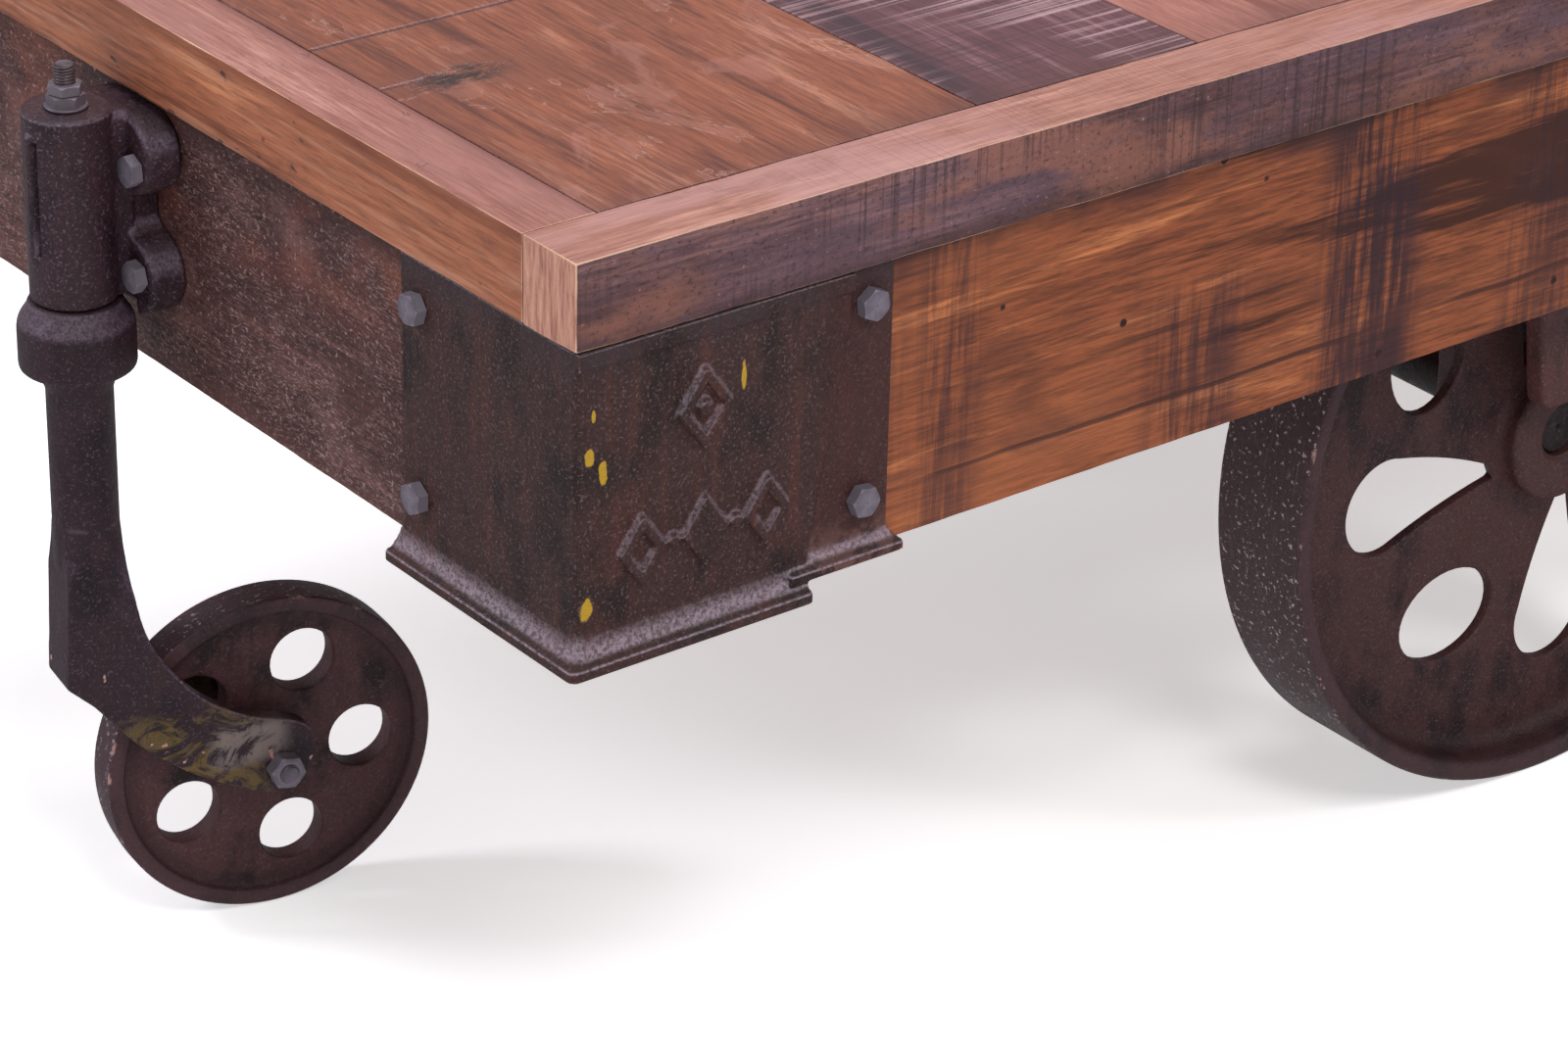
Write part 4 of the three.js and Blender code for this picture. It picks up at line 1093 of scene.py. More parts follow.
def border_long_paint():
    p = Paint("border_long")
    grain = Grain(p, "X", 1.3)
    top = grain.colours(srgb(196, 146, 128), srgb(172, 120, 104), srgb(126, 76, 64))
    mottle = p.noise(p.stretch(9, 30, 30, (4, 4, 4)), detail=4)
    top = p.mix(p.times(p.band(mottle, 0.45, 0.65), 0.55), top, srgb(180, 136, 132))
    top = p.mix(p.times(grain.stains(16, 0.56, 0.7), 0.4), top, srgb(120, 74, 62))
    # the long edge is weathered: dark purplish brown, with bluish and brown patches and saw marks across
    side = grain.colours(srgb(142, 98, 92), srgb(100, 63, 60), srgb(46, 29, 33))
    cool = p.band(p.noise(p.stretch(8, 8, 22, (2, 2, 2)), detail=4, roughness=0.65), 0.42, 0.62)
    side = p.mix(p.times(cool, 0.5), side, srgb(90, 70, 86))
    warm = p.band(p.noise(p.stretch(10, 10, 30, (8, 1, 5)), detail=4, roughness=0.6), 0.5, 0.66)
    side = p.mix(p.times(warm, 0.65), side, srgb(138, 86, 68))
    crumbs = p.noise(p.stretch(330, 330, 460), detail=3, roughness=0.7)
    side = p.mix(p.band(crumbs, 0.52, 0.72, 0.0, 0.75), side, srgb(48, 32, 38))
    side = p.mix(p.band(crumbs, 0.36, 0.28, 0.0, 0.6), side, srgb(158, 124, 118))
    marks = grain.saw(0.42, 0.56, 520)
    side = p.mix(p.times(marks, 0.6), side, srgb(50, 34, 42))
    foot = p.band(p.plus(p.z, p.times(mottle, 0.016)), 0.424, 0.436, 0.5, 0.0)
    side = p.mix(foot, side, srgb(58, 34, 34))
    end = p.ramp(p.noise(p.stretch(60, 420, 46), detail=5, roughness=0.7), [
        (0.32, srgb(134, 86, 70)), (0.5, srgb(176, 124, 104)), (0.66, srgb(196, 146, 124))])
    is_top = p.band(p.facing[2], 0.45, 0.75)
    is_end = p.band(p.math("ABSOLUTE", p.facing[0]), 0.5, 0.8)
    colour = p.mix(is_top, p.mix(is_end, side, end), top)
    colour = worn_edge(p, colour, CREAM, 0.2, 26)
    height = p.plus(grain.height(), p.times(crumbs, p.math("SUBTRACT", 1.0, is_top), 1.3))
    height = p.plus(height, p.times(marks, -0.5))
    rough = p.band(is_top, 0.0, 1.0, 0.62, 0.4)
    return p.finish(colour, rough, height, 0.0006, 0.4)


def border_end_paint():
    p = Paint("border_end")
    grain = Grain(p, "Y", 7.1)
    top = grain.colours(srgb(190, 138, 124), srgb(164, 110, 98), srgb(112, 66, 56))
    rosy = p.noise(p.stretch(40, 7, 40, (3, 3, 3)), detail=4)
    top = p.mix(p.band(rosy, 0.42, 0.62, 0.0, 0.5), top, srgb(158, 110, 102))
    inner_dirt = p.band(p.math("ABSOLUTE", p.x), 0.607, 0.598, 0.0, 0.55)
    top = p.mix(inner_dirt, top, srgb(104, 60, 56))
    side = grain.colours(srgb(194, 126, 86), srgb(162, 96, 64), srgb(104, 58, 40))
    dirt = p.noise(p.stretch(30, 26, 60, (5, 2, 1)), detail=5, roughness=0.65, distortion=0.6)
    side = p.mix(p.band(dirt, 0.56, 0.74, 0.0, 0.55), side, srgb(100, 58, 46))
    rows = p.noise(p.stretch(12, 12, 210, (1, 6, 2)), detail=3)
    side = p.mix(p.band(rows, 0.5, 0.7, 0.0, 0.4), side, srgb(190, 140, 112))
    pits = p.noise(p.stretch(110, 70, 130, (2, 9, 4)), detail=2)
    pit = p.band(pits, 0.69, 0.76)
    side = p.mix(p.times(pit, 0.9), side, srgb(74, 42, 40))
    is_top = p.band(p.facing[2], 0.45, 0.75)
    colour = p.mix(is_top, side, top)
    under_edge = p.times(p.band(p.z, 0.449, 0.454), p.math("SUBTRACT", 1.0, is_top), 0.55)
    colour = p.mix(under_edge, colour, srgb(112, 56, 36))
    colour = worn_edge(p, colour, CREAM, 0.25, 30, 0.9)
    height = p.plus(grain.height(), p.times(pit, -1.6))
    height = p.plus(height, p.times(dirt, 0.5))
    return p.finish(colour, p.band(is_top, 0.0, 1.0, 0.55, 0.42), height, 0.0005, 0.4)


def plank_paint(name, seed, pale, main, deep, gloss, saw=0.0, saw_tone=None, stain=0.4, waviness=1.4):
    """A plank's own colours and marks. Further layers may be added before it is finished."""
    p = Paint(name)
    grain = Grain(p, "Y", seed, waviness)
    colour = grain.colours(pale, main, deep)
    colour = p.mix(p.times(grain.stains(9, 0.5, 0.72), stain), colour, deep)
    height = grain.height()
    if saw:
        marks = grain.saw(0.34, 0.5, 330)
        colour = p.mix(p.times(marks, saw), colour, saw_tone)
        cross = grain.saw(0.4, 0.6, 900, 13.0)
        colour = p.mix(p.times(cross, saw * 0.7), colour, deep)
        height = p.plus(height, p.times(marks, 0.8))
    # dirt gathers along the frame around the planks
    side_dirt = p.band(p.math("ABSOLUTE", p.y), 0.268, 0.299, 0.0, 0.5)
    end_dirt = p.band(p.math("ABSOLUTE", p.x), 0.575, 0.6, 0.0, 0.45)
    blur = p.band(p.noise(p.stretch(22, 22, 22), detail=3), 0.35, 0.6, 0.35, 1.0)
    colour = p.mix(p.times(p.math("MAXIMUM", side_dirt, end_dirt), blur), colour, srgb(92, 50, 44))
    seam = p.band(p.wear(), 0.05, 0.5, 0.0, 0.85)
    colour = p.mix(seam, colour, srgb(64, 36, 34))
    return p, colour, height, gloss


def plank_1_paint():
    p, colour, height, gloss = plank_paint(
        "plank_1", 2.4, srgb(184, 122, 94), srgb(150, 84, 56), srgb(92, 44, 30), 0.3, stain=0.35, waviness=2.6)
    # varnish gone thin in pale patches with clear outlines
    bare = p.noise(p.stretch(24, 13, 20, (3, 8, 1)), detail=4, roughness=0.62, distortion=1.3)
    colour = p.mix(p.band(bare, 0.55, 0.64, 0.0, 0.28), colour, srgb(172, 116, 102))
    rim = p.math("ABSOLUTE", p.math("SUBTRACT", bare, 0.575))
    outline = p.times(p.band(rim, 0.0, 0.012, 1.0, 0.0), p.band(p.noise(p.stretch(14, 14, 14), detail=2), 0.5, 0.6))
    colour = p.mix(p.times(outline, 0.32), colour, srgb(206, 164, 146))
    # a knot with cracks, near the corner
    wobble = p.noise(p.stretch(70, 70, 70), detail=4, distortion=1.5)
    dx = p.times(p.plus(p.math("SUBTRACT", p.x, -0.563), p.times(p.math("SUBTRACT", wobble, 0.5), 0.03)), 20.0)
    dy = p.times(p.plus(p.math("SUBTRACT", p.y, -0.150), p.times(p.math("SUBTRACT", wobble, 0.5), 0.03)), 42.0)
    away = p.math("SQRT", p.plus(p.times(dx, dx), p.times(dy, dy)))
    knot = p.band(away, 0.12, 0.62, 1.0, 0.0)
    splinter = p.noise(p.stretch(60, 360, 60, (1, 1, 1)), detail=3, distortion=1.2)
    crack = p.times(knot, p.band(splinter, 0.42, 0.56))
    colour = p.mix(p.band(away, 0.3, 1.5, 0.5, 0.0), colour, srgb(120, 66, 48))
    colour = p.mix(p.times(crack, 0.95), colour, srgb(38, 22, 22))
    grey = p.times(knot, p.band(splinter, 0.34, 0.26))
    colour = p.mix(p.times(grey, 0.7), colour, srgb(168, 130, 124))
    height = p.plus(height, p.times(crack, -2.0))
    # the cut between two lengths of board, dark with dirt
    joint = p.times(p.hump(p.y, -0.09, 0.0007, 0.0012), p.band(p.x, -0.602, -0.6))
    short_joint = p.times(p.hump(p.y, -0.144, 0.0006, 0.001), p.band(p.x, -0.563, -0.567))
    lines = p.math("MAXIMUM", joint, short_joint)
    colour = p.mix(p.times(lines, 0.85), colour, srgb(66, 38, 42))
    rough = p.band(bare, 0.45, 0.66, gloss, gloss + 0.14)
    return p.finish(colour, rough, height, 0.0005, 0.5, coat=0.35, coat_roughness=0.18)


def plain_plank(*settings, **more):
    p, colour, height, gloss = plank_paint(*settings, **more)
    return p.finish(colour, gloss, height, 0.0005, 0.5, coat=0.2, coat_roughness=0.25)


def side_rail_paint():
    p = Paint("side_rail")
    grain = Grain(p, "X", 5.2, 1.8)
    colour = grain.colours(srgb(186, 112, 66), srgb(142, 76, 43), srgb(66, 34, 24))
    glow = p.noise(p.stretch(4, 4, 9, (6, 2, 2)), detail=3)
    colour = p.mix(p.band(glow, 0.5, 0.68, 0.0, 0.35), colour, srgb(182, 108, 64))
    colour = p.mix(p.times(grain.stains(9, 0.52, 0.68), 0.55), colour, srgb(86, 48, 36))
    # burns that the saw left: upright lines in a few dark bands
    lines = p.noise(p.stretch(210, 210, 11, (1, 1, 1)), detail=4, roughness=0.75, distortion=0.3)
    smoke = p.noise(p.stretch(15, 15, 12, (2, 7, 3)), detail=4, roughness=0.6)
    bands = p.hump(p.x, -0.197, 0.018, 0.022)
    for centre, half in ((-0.44, 0.006), (-0.088, 0.012), (0.12, 0.01), (0.33, 0.02), (0.45, 0.006)):
        bands = p.math("MAXIMUM", bands, p.times(p.hump(p.x, centre, half, 0.02), 0.7))
    low_band = p.times(p.hump(p.x, -0.3, 0.012, 0.026), p.band(p.z, 0.37, 0.345), 0.8)
    bands = p.math("MAXIMUM", bands, low_band)
    random_bands = p.band(p.noise(p.stretch(13, 13, 2.2, (4, 4, 4)), detail=2), 0.58, 0.74, 0.0, 0.4)
    bands = p.math("MAXIMUM", bands, random_bands)
    burn = p.times(bands, p.band(p.plus(p.times(lines, 0.55), p.times(smoke, 0.45)), 0.4, 0.55))
    colour = p.mix(p.times(burn, 0.9), colour, srgb(48, 32, 40))
    # darker and patchy along the top, under the deck's edge, and a long crack near the bottom
    darker_top_band = p.times(p.band(p.z, 0.396, 0.416), p.band(smoke, 0.4, 0.6), 0.75)
    colour = p.mix(darker_top_band, colour, srgb(66, 40, 40))
    ripple = p.times(p.noise(p.stretch(6, 6, 6, (5, 5, 5)), detail=3), 0.012)
    crack = p.times(p.hump(p.plus(p.z, ripple), 0.3155, 0.0003, 0.0012), p.band(p.noise(p.stretch(9, 9, 3), detail=2), 0.36, 0.5))
    colour = p.mix(p.times(crack, 0.8), colour, srgb(52, 30, 30))
    below = p.times(p.hump(p.plus(p.z, ripple), 0.319, 0.002, 0.006), 0.3)
    colour = p.mix(below, colour, srgb(96, 52, 38))
    holes = p.node("ShaderNodeTexVoronoi", {"Vector": p.place, "Scale": 26.0}).outputs["Distance"]
    hole = p.band(holes, 0.035, 0.06, 1.0, 0.0)
    colour = p.mix(hole, colour, srgb(50, 28, 26))
    colour = worn_edge(p, colour, srgb(150, 98, 74), 0.4, 40, 0.6)
    height = p.plus(grain.height(), p.plus(p.times(crack, -1.5), p.times(hole, -1.2)))
    return p.finish(colour, 0.5, height, 0.0006, 0.25)


def end_rail_paint():
    p = Paint("end_rail")
    grain = Grain(p, "Y", 3.6, 0.8)
    colour = grain.colours(srgb(112, 72, 66), srgb(76, 47, 45), srgb(44, 29, 30))
    blotch = p.noise(p.stretch(16, 11, 16, (7, 1, 2)), detail=5, roughness=0.65)
    colour = p.mix(p.band(blotch, 0.5, 0.66, 0.0, 0.65), colour, srgb(112, 78, 75))
    red = p.times(p.band(p.noise(p.stretch(12, 9, 12, (1, 9, 2)), detail=3), 0.48, 0.62), p.band(p.z, 0.35, 0.4))
    colour = p.mix(p.times(red, 0.7), colour, srgb(122, 66, 48))
    # fine pale scratches that run down at a slant, and coarser ones across them
    for tilt, low, strength, shift in ((0.1, 0.58, 0.34, 0.0), (-0.12, 0.59, 0.34, 5.0), (-0.35, 0.6, 0.3, 9.0), (0.7, 0.63, 0.3, 14.0)):
        angled = p.node("ShaderNodeMapping", {"Vector": p.place, "Rotation": (tilt, 0, 0)}).outputs[0]
        lines = p.noise(p.stretch(60, 210, 1300, (shift, shift, shift), angled), detail=2, roughness=0.7)
        patch = p.band(p.noise(p.stretch(20, 20, 20, (shift, 0, 0)), detail=2), 0.36, 0.56)
        colour = p.mix(p.times(p.band(lines, low, low + 0.06), patch, strength), colour, srgb(176, 148, 142))
    pits = p.noise(p.stretch(260, 260, 420, (3, 3, 3)), detail=3, roughness=0.7)
    colour = p.mix(p.band(pits, 0.56, 0.7, 0.0, 0.7), colour, srgb(46, 32, 34))
    flecks = p.noise(p.stretch(420, 420, 420, (8, 2, 6)), detail=1)
    colour = p.mix(p.band(flecks, 0.64, 0.72, 0.0, 0.55), colour, srgb(162, 130, 128))
    # darker and patchy along the top, under the deck
    dark_band_at_top = p.times(p.band(p.z, 0.398, 0.414), p.band(blotch, 0.42, 0.6), 0.8)
    colour = p.mix(dark_band_at_top, colour, srgb(50, 34, 34))
    foot = p.band(p.plus(p.z, p.times(blotch, 0.02)), 0.296, 0.306, 0.5, 0.0)
    colour = p.mix(foot, colour, srgb(92, 58, 52))
    height = p.plus(grain.height(), p.times(pits, 1.4))
    return p.finish(colour, 0.5, height, 0.0006, 0.25)


def beam_paint():
    p = Paint("beam")
    grain = Grain(p, "Y", 8.8, 1.0)
    colour = grain.colours(srgb(150, 112, 86), srgb(118, 82, 62), srgb(74, 50, 40))
    colour = p.mix(p.times(grain.saw(0.4, 0.55, 300), 0.6), colour, srgb(64, 44, 38))
    colour = worn_edge(p, colour, srgb(168, 130, 104), 0.4, 40, 0.6)
    return p.finish(colour, 0.75, grain.height(), 0.0007, 0.3)


class Cast:
    """The common layers of sand-cast iron under old dark paint."""

    def __init__(self, name, main, deep, rust, sheen):
        p = self.paint = Paint(name)
        self.sand = p.noise(p.stretch(520, 520, 520), detail=4, roughness=0.8)
        self.lumps = p.noise(p.stretch(150, 150, 150, (3, 1, 2)), detail=3)
        self.blotches = p.noise(p.stretch(34, 34, 20, (1, 4, 2)), detail=5, roughness=0.62)
        self.streaks = p.noise(p.stretch(150, 150, 9, (2, 2, 5)), detail=4, roughness=0.6)
        colour = p.ramp(self.blotches, [(0.36, deep), (0.5, main), (0.64, main)])
        rusty = p.times(p.band(self.streaks, 0.48, 0.66), p.band(self.blotches, 0.4, 0.56))
        colour = p.mix(p.times(rusty, 0.5), colour, rust)
        # pale grains in the sheen colour are a painted sheen on the sand grain
        colour = p.mix(p.band(self.sand, 0.56, 0.7, 0.0, 0.62), colour, sheen)
        self.colour = p.mix(p.band(self.sand, 0.46, 0.32, 0.0, 0.75), colour, deep)
        # painted glints: pale specks in the sheen colour
        glint_specks = p.noise(p.stretch(760, 760, 760, (4, 4, 4)), detail=1)
        self.colour = p.mix(p.band(glint_specks, 0.6, 0.7, 0.0, 0.6), self.colour, sheen)
        self.height = p.plus(p.times(self.sand, 1.0), p.times(self.lumps, 0.7))

    def layer(self, mask, colour):
        self.colour = self.paint.mix(mask, self.colour, colour)

    def painted_highlight(self, colour, amount):
        """A painted highlight on coves and shoulders that face halfway up, pale over the sand grain."""
        p = self.paint
        upward_highlight = p.hump(p.facing[2], 0.46, 0.06, 0.3)
        self.layer(p.times(upward_highlight, p.band(self.sand, 0.4, 0.58, 0.25, 1.0), amount), colour)

    def chipped(self, low=0.535, high=0.58, colour=None, amount=0.8, scale=90.0):
        """Paint knocked off the sharpest edges."""
        p = self.paint
        edges = p.node("ShaderNodeNewGeometry", {}).outputs["Pointiness"]
        patchy = p.band(p.noise(p.stretch(scale, scale, scale, (6, 6, 6)), detail=4), 0.5, 0.62)
        self.layer(p.times(p.band(edges, low, high), patchy, amount), colour or srgb(150, 116, 118))

    def finish(self, roughness=0.34, depth=0.0009, specular=0.42, coat=0.0):
        p = self.paint
        rough = p.band(self.blotches, 0.35, 0.65, roughness - 0.05, roughness + 0.12)
        return p.finish(self.colour, rough, self.height, depth, specular, 0.0, coat, 0.22)


def paint_dab(cast, mask_axes, spots, colour):
    """Small brush marks of bright paint at places given as (across, height, half width, half height)."""
    p = cast.paint
    wobble = p.math("SUBTRACT", p.noise(p.stretch(260, 260, 260), detail=3), 0.5)
    for across, height, half_width, half_height in spots:
        a = p.math("DIVIDE", p.math("SUBTRACT", mask_axes[0], across), half_width)
        b = p.math("DIVIDE", p.math("SUBTRACT", mask_axes[1], height), half_height)
        far = p.plus(p.math("SQRT", p.plus(p.times(a, a), p.times(b, b))), p.times(wobble, 1.1))
        cast.layer(p.times(p.band(far, 0.75, 1.05, 1.0, 0.0), mask_axes[2]), colour)


def bracket_paint(name, dabs):
    cast = Cast(name, srgb(58, 35, 32), srgb(36, 23, 22), srgb(86, 42, 34), srgb(110, 88, 88))
    p = cast.paint
    # the set-back part is redder, and scale gathers on the recessed flange
    recess = p.times(p.band(p.x, 0.118, 0.132), p.band(p.facing[1], -0.5, -0.8))
    cast.layer(p.times(recess, 0.5), srgb(68, 32, 30))
    scale = p.times(p.band(p.x, 0.117, 0.122), p.band(p.z, 0.31, 0.292), p.band(cast.lumps, 0.4, 0.55))
    cast.layer(p.times(scale, 0.35), srgb(132, 92, 84))
    top_dirt = p.times(p.band(p.z, 0.4, 0.416), p.band(cast.blotches, 0.4, 0.55), 0.5)
    cast.layer(top_dirt, srgb(50, 42, 50))
    # painted highlight on faces turned halfway up: strong in the flange's cove, weaker higher up
    cast.painted_highlight(srgb(164, 146, 158), p.band(p.z, 0.3, 0.312, 0.8, 0.38))
    cast.chipped(amount=0.75)
    if dabs:
        on_long_face = p.band(p.facing[1], -0.3, -0.6)
        spots = [(0.008, 0.371, 0.0024, 0.0042), (0.0145, 0.363, 0.002, 0.0058), (0.0098, 0.3885, 0.001, 0.003),
                 (0.084, 0.386, 0.0013, 0.0062), (0.0065, 0.3035, 0.0032, 0.0055)]
        paint_dab(cast, (p.x, p.z, on_long_face), spots, srgb(176, 138, 28))
    return cast.finish(0.34, 0.0009)


def caster_paint():
    cast = Cast("caster", srgb(52, 33, 40), srgb(34, 22, 28), srgb(66, 37, 38), srgb(108, 88, 102))
    # painted highlight on faces turned halfway up, such as the ears' rounded edges
    cast.painted_highlight(srgb(132, 112, 134), 0.42)
    cast.chipped(0.53, 0.6, srgb(120, 98, 110), 0.5)
    return cast.finish(0.32, 0.0007, 0.45)


def leg_paint():
    cast = Cast("caster_leg", srgb(46, 29, 36), srgb(31, 20, 26), srgb(58, 33, 35), srgb(84, 68, 78))
    p = cast.paint
    # yellow smears low on the arms, and a bare grey patch by the axle
    smear = p.noise(p.stretch(46, 30, 70, (2, 2, 9)), detail=5, roughness=0.7, distortion=1.0)
    low_arm = p.times(p.band(p.z, 0.128, 0.112), p.band(p.x, 0.0, 0.012), p.band(p.x, 0.084, 0.066))
    cast.layer(p.times(low_arm, p.band(smear, 0.47, 0.58), 0.75), srgb(104, 84, 38))
    bare = p.times(p.hump(p.x, 0.066, 0.012, 0.012), p.hump(p.z, 0.097, 0.006, 0.008), p.band(smear, 0.4, 0.5))
    cast.layer(p.times(bare, 0.75), srgb(122, 110, 106))
    chips = p.noise(p.stretch(150, 150, 150, (5, 1, 1)), detail=2)
    cast.layer(p.times(p.band(chips, 0.7, 0.74), p.band(p.z, 0.2, 0.15)), srgb(176, 130, 124))
    # painted highlight on faces turned halfway up, such as the collar's shoulder
    cast.painted_highlight(srgb(126, 106, 126), 0.42)
    cast.chipped(0.54, 0.6, srgb(130, 108, 112), 0.5)
    return cast.finish(0.33, 0.0006, 0.42)


def wheel_paint(name, radius, near_face, far_face, reddish, tread_tone, rim_width):
    """A cast wheel whose axle lies along Y in its own frame. The tread is worn to grey."""
    cast = Cast(name, reddish, srgb(38, 24, 25), srgb(70, 37, 32), srgb(92, 72, 76))
    p = cast.paint
    out = p.math("SQRT", p.plus(p.times(p.x, p.x), p.times(p.z, p.z)))
    on_tread = p.band(out, radius - 0.0012, radius - 0.0004)
    scuffs = p.noise(p.stretch(60, 700, 60, (1, 1, 1)), detail=3, roughness=0.7)
    cast.layer(p.times(on_tread, 0.75), tread_tone)
    cast.layer(p.times(on_tread, p.band(scuffs, 0.54, 0.7), 0.22), srgb(122, 102, 108))
    specks = p.noise(p.stretch(420, 420, 420, (7, 7, 7)), detail=2)
    cast.layer(p.times(on_tread, p.band(specks, 0.61, 0.69), 0.75), srgb(172, 154, 160))
    # painted highlight: a faint lavender-grey lightening over the rim's face
    rim_highlight = p.times(p.band(out, radius - rim_width, radius - rim_width + 0.0015), p.math("SUBTRACT", 1.0, on_tread))
    cast.layer(p.times(rim_highlight, 0.35), srgb(66, 50, 58))
    # chips where the face meets the tread
    edge = p.times(p.band(out, radius - 0.0022, radius - 0.0008), p.math(
        "MAXIMUM", p.hump(p.y, near_face, 0.0008, 0.0014), p.hump(p.y, far_face, 0.0008, 0.0014)))
    patchy = p.band(p.noise(p.stretch(55, 55, 55, (2, 5, 5)), detail=4, roughness=0.7), 0.56, 0.64)
    cast.layer(p.times(edge, patchy, 0.9), srgb(170, 132, 128))
    # darker in the corner between the web and the rim
    corner = p.times(p.hump(out, radius - rim_width - 0.002, 0.001, 0.006), 0.35)
    cast.layer(corner, srgb(34, 24, 26))
    return cast.finish(0.36, 0.0007, 0.36)


def hanger_paint():
    cast = Cast("hanger", srgb(74, 42, 40), srgb(48, 29, 29), srgb(88, 46, 39), srgb(110, 84, 86))
    cast.chipped(0.53, 0.58, srgb(150, 112, 108), 0.5)
    return cast.finish(0.38, 0.0006)


def steel_paint(name, main, deep, rust_amount, metallic, pale_edges=0.5):
    p = Paint(name)
    fine = p.noise(p.stretch(700, 700, 700), detail=3, roughness=0.6)
    cloud = p.noise(p.stretch(190, 190, 190, (2, 3, 1)), detail=4)
    colour = p.mix(p.band(cloud, 0.4, 0.65), main, deep)
    colour = p.mix(p.band(fine, 0.52, 0.7, 0.0, rust_amount), colour, srgb(92, 62, 54))
    edges = p.node("ShaderNodeNewGeometry", {}).outputs["Pointiness"]
    colour = p.mix(p.band(edges, 0.52, 0.6, 0.0, pale_edges), colour, srgb(150, 142, 154))
    rough = p.band(cloud, 0.35, 0.65, 0.34, 0.5)
    return p.finish(colour, rough, p.plus(p.times(fine, 0.6), cloud), 0.0003, 0.4, metallic)


def make_paints():
    return {
        "border_long": border_long_paint(),
        "border_end": border_end_paint(),
        "plank_1": plank_1_paint(),
        "plank_2": plain_plank("plank_2", 4.1, srgb(138, 96, 100), srgb(104, 62, 66), srgb(62, 38, 46), 0.34,
                               saw=0.8, saw_tone=srgb(186, 150, 152)),
        "plank_3": plain_plank("plank_3", 6.3, srgb(196, 142, 130), srgb(172, 114, 100), srgb(128, 74, 60), 0.38),
        "plank_4": plain_plank("plank_4", 9.9, srgb(176, 112, 80), srgb(140, 80, 54), srgb(84, 46, 34), 0.34,
                               saw=0.35, saw_tone=srgb(110, 70, 58)),
        "plank_5": plain_plank("plank_5", 12.7, srgb(196, 136, 104), srgb(166, 100, 70), srgb(108, 58, 40), 0.33, waviness=2.2),
        "plank_6": plain_plank("plank_6", 15.2, srgb(146, 100, 92), srgb(112, 70, 66), srgb(70, 44, 46), 0.36,
                               saw=0.6, saw_tone=srgb(168, 130, 124)),
        "plank_7": plain_plank("plank_7", 18.4, srgb(188, 130, 110), srgb(158, 98, 78), srgb(110, 60, 46), 0.36),
        "side_rail": side_rail_paint(),
        "end_rail": end_rail_paint(),
        "beam": beam_paint(),
        "bracket_near": bracket_paint("bracket_near", True),
        "bracket": bracket_paint("bracket", False),
        "caster": caster_paint(),
        "leg": leg_paint(),
        "main_wheel": wheel_paint("main_wheel", 0.184, 0.0, 0.057, srgb(68, 40, 39), srgb(60, 46, 49), 0.011),
        "caster_wheel": wheel_paint("caster_wheel", 0.081, -0.01, 0.01, srgb(76, 45, 47), srgb(66, 49, 56), 0.009),
        "hanger": hanger_paint(),
        "steel": steel_paint("steel", srgb(86, 78, 90), srgb(56, 49, 60), 0.45, 0.3),
        "axle": steel_paint("axle", srgb(34, 24, 27), srgb(22, 17, 19), 0.4, 0.0, 0.0),
        "dull_steel": steel_paint("dull_steel", srgb(70, 55, 58), srgb(46, 34, 40), 0.75, 0.25),
    }

# ---- camera ---------------------------------------------------------------------------
# The camera looks at a point near the deck's near corner, from in front of it and to the left.

VIEW_AZIMUTH = 38.33  # degrees from +Y towards +X
VIEW_DOWN = 27.15
VIEW_ROLL = 1.36
VIEW_DISTANCE = 1.928
AIM_RIGHT = 0.0808  # the aim point from the near corner, in the camera's own plane
AIM_BELOW = 0.067
LENS = 114.2
SENSOR = 36.0


def make_camera():
    azimuth, down, roll = (math.radians(a) for a in (VIEW_AZIMUTH, VIEW_DOWN, VIEW_ROLL))
    ahead = Vector((math.sin(azimuth) * math.cos(down), math.cos(azimuth) * math.cos(down), -math.sin(down)))
    level = Vector((math.cos(azimuth), -math.sin(azimuth), 0))
    upright_axis = level.cross(ahead)
    right = math.cos(roll) * level + math.sin(roll) * upright_axis
    up = math.cos(roll) * upright_axis - math.sin(roll) * level
    place = deck_corner + AIM_RIGHT * right - AIM_BELOW * up - VIEW_DISTANCE * ahead
    data = bpy.data.cameras.new("camera")
    data.lens = LENS
    data.sensor_width = SENSOR
    data.clip_start = 0.05
    camera = bpy.data.objects.new("camera", data)
    bpy.context.scene.collection.objects.link(camera)
    turn = Matrix((right, up, -ahead)).transposed().to_4x4()
    camera.matrix_world = Matrix.Translation(place) @ turn
    bpy.context.scene.camera = camera


# ---- light and floor ------------------------------------------------------------------


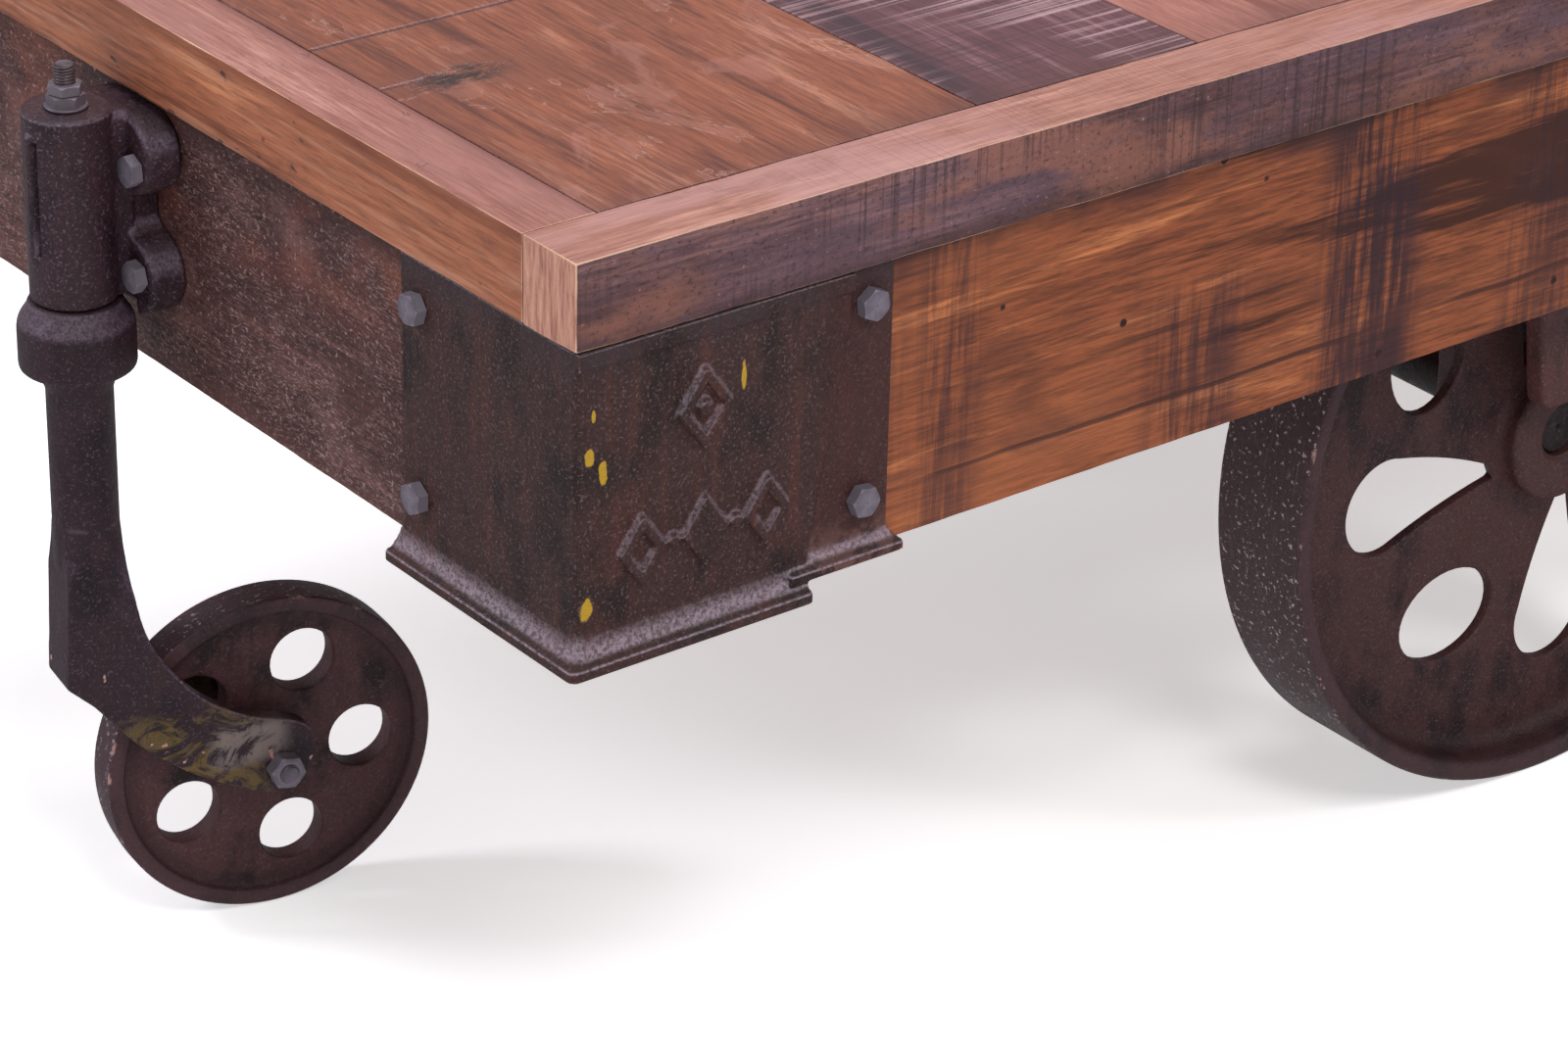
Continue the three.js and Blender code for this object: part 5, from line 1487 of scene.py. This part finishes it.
def area_light(name, place, size, power, colour=(1.0, 1.0, 1.0), aim=(0.0, 0.0, 0.25)):
    data = bpy.data.lights.new(name, "AREA")
    data.shape = "RECTANGLE"
    data.size, data.size_y = size
    data.energy = power
    data.color = colour
    light = bpy.data.objects.new(name, data)
    bpy.context.scene.collection.objects.link(light)
    light.location = place
    light.rotation_euler = (Vector(aim) - Vector(place)).to_track_quat("-Z", "Y").to_euler()
    return light


def make_studio():
    scene = bpy.context.scene
    scene.view_settings.view_transform = "Standard"
    world = bpy.data.worlds.new("studio")
    world.use_nodes = True
    background = world.node_tree.nodes["Background"]
    background.inputs["Color"].default_value = (0.97, 0.97, 1.0, 1)
    background.inputs["Strength"].default_value = 0.28
    scene.world = world
    lavender = (0.93, 0.92, 1.0)
    area_light("key_light", (-1.2, -2.4, 3.2), (1.0, 1.0), 54, (1.0, 0.98, 0.97))
    area_light("top_light", (0.2, 0.5, 3.2), (2.4, 1.8), 66, lavender)
    area_light("left_light", (-2.4, 1.5, 2.0), (0.7, 0.9), 33, lavender)
    area_light("right_light", (0.9, -2.0, 1.9), (0.5, 0.5), 13, (0.97, 0.95, 1.0))
    mesh = bpy.data.meshes.new("floor")
    half = 12.0
    mesh.from_pydata([(-half, -half, 0), (half, -half, 0), (half, half, 0), (-half, half, 0)], [], [(0, 1, 2, 3)])
    floor = bpy.data.objects.new("floor", mesh)
    scene.collection.objects.link(floor)
    paint = bpy.data.materials.new("floor")
    paint.use_nodes = True
    shader = paint.node_tree.nodes["Principled BSDF"]
    shader.inputs["Base Color"].default_value = (0.96, 0.96, 0.97, 1)
    shader.inputs["Emission Color"].default_value = (1.0, 1.0, 1.0, 1)
    shader.inputs["Emission Strength"].default_value = 0.52
    shader.inputs["Roughness"].default_value = 0.9
    shader.inputs["Specular IOR Level"].default_value = 0.1
    mesh.materials.append(paint)
    floor.visible_glossy = False  # so that it doesn't cast a haze over the dark iron


# ---- assembly -------------------------------------------------------------------------

paints = make_paints()
add_woodwork(paints)
add_corners(paints)
add_main_wheels(paints)
add_casters(paints)
make_camera()
make_studio()
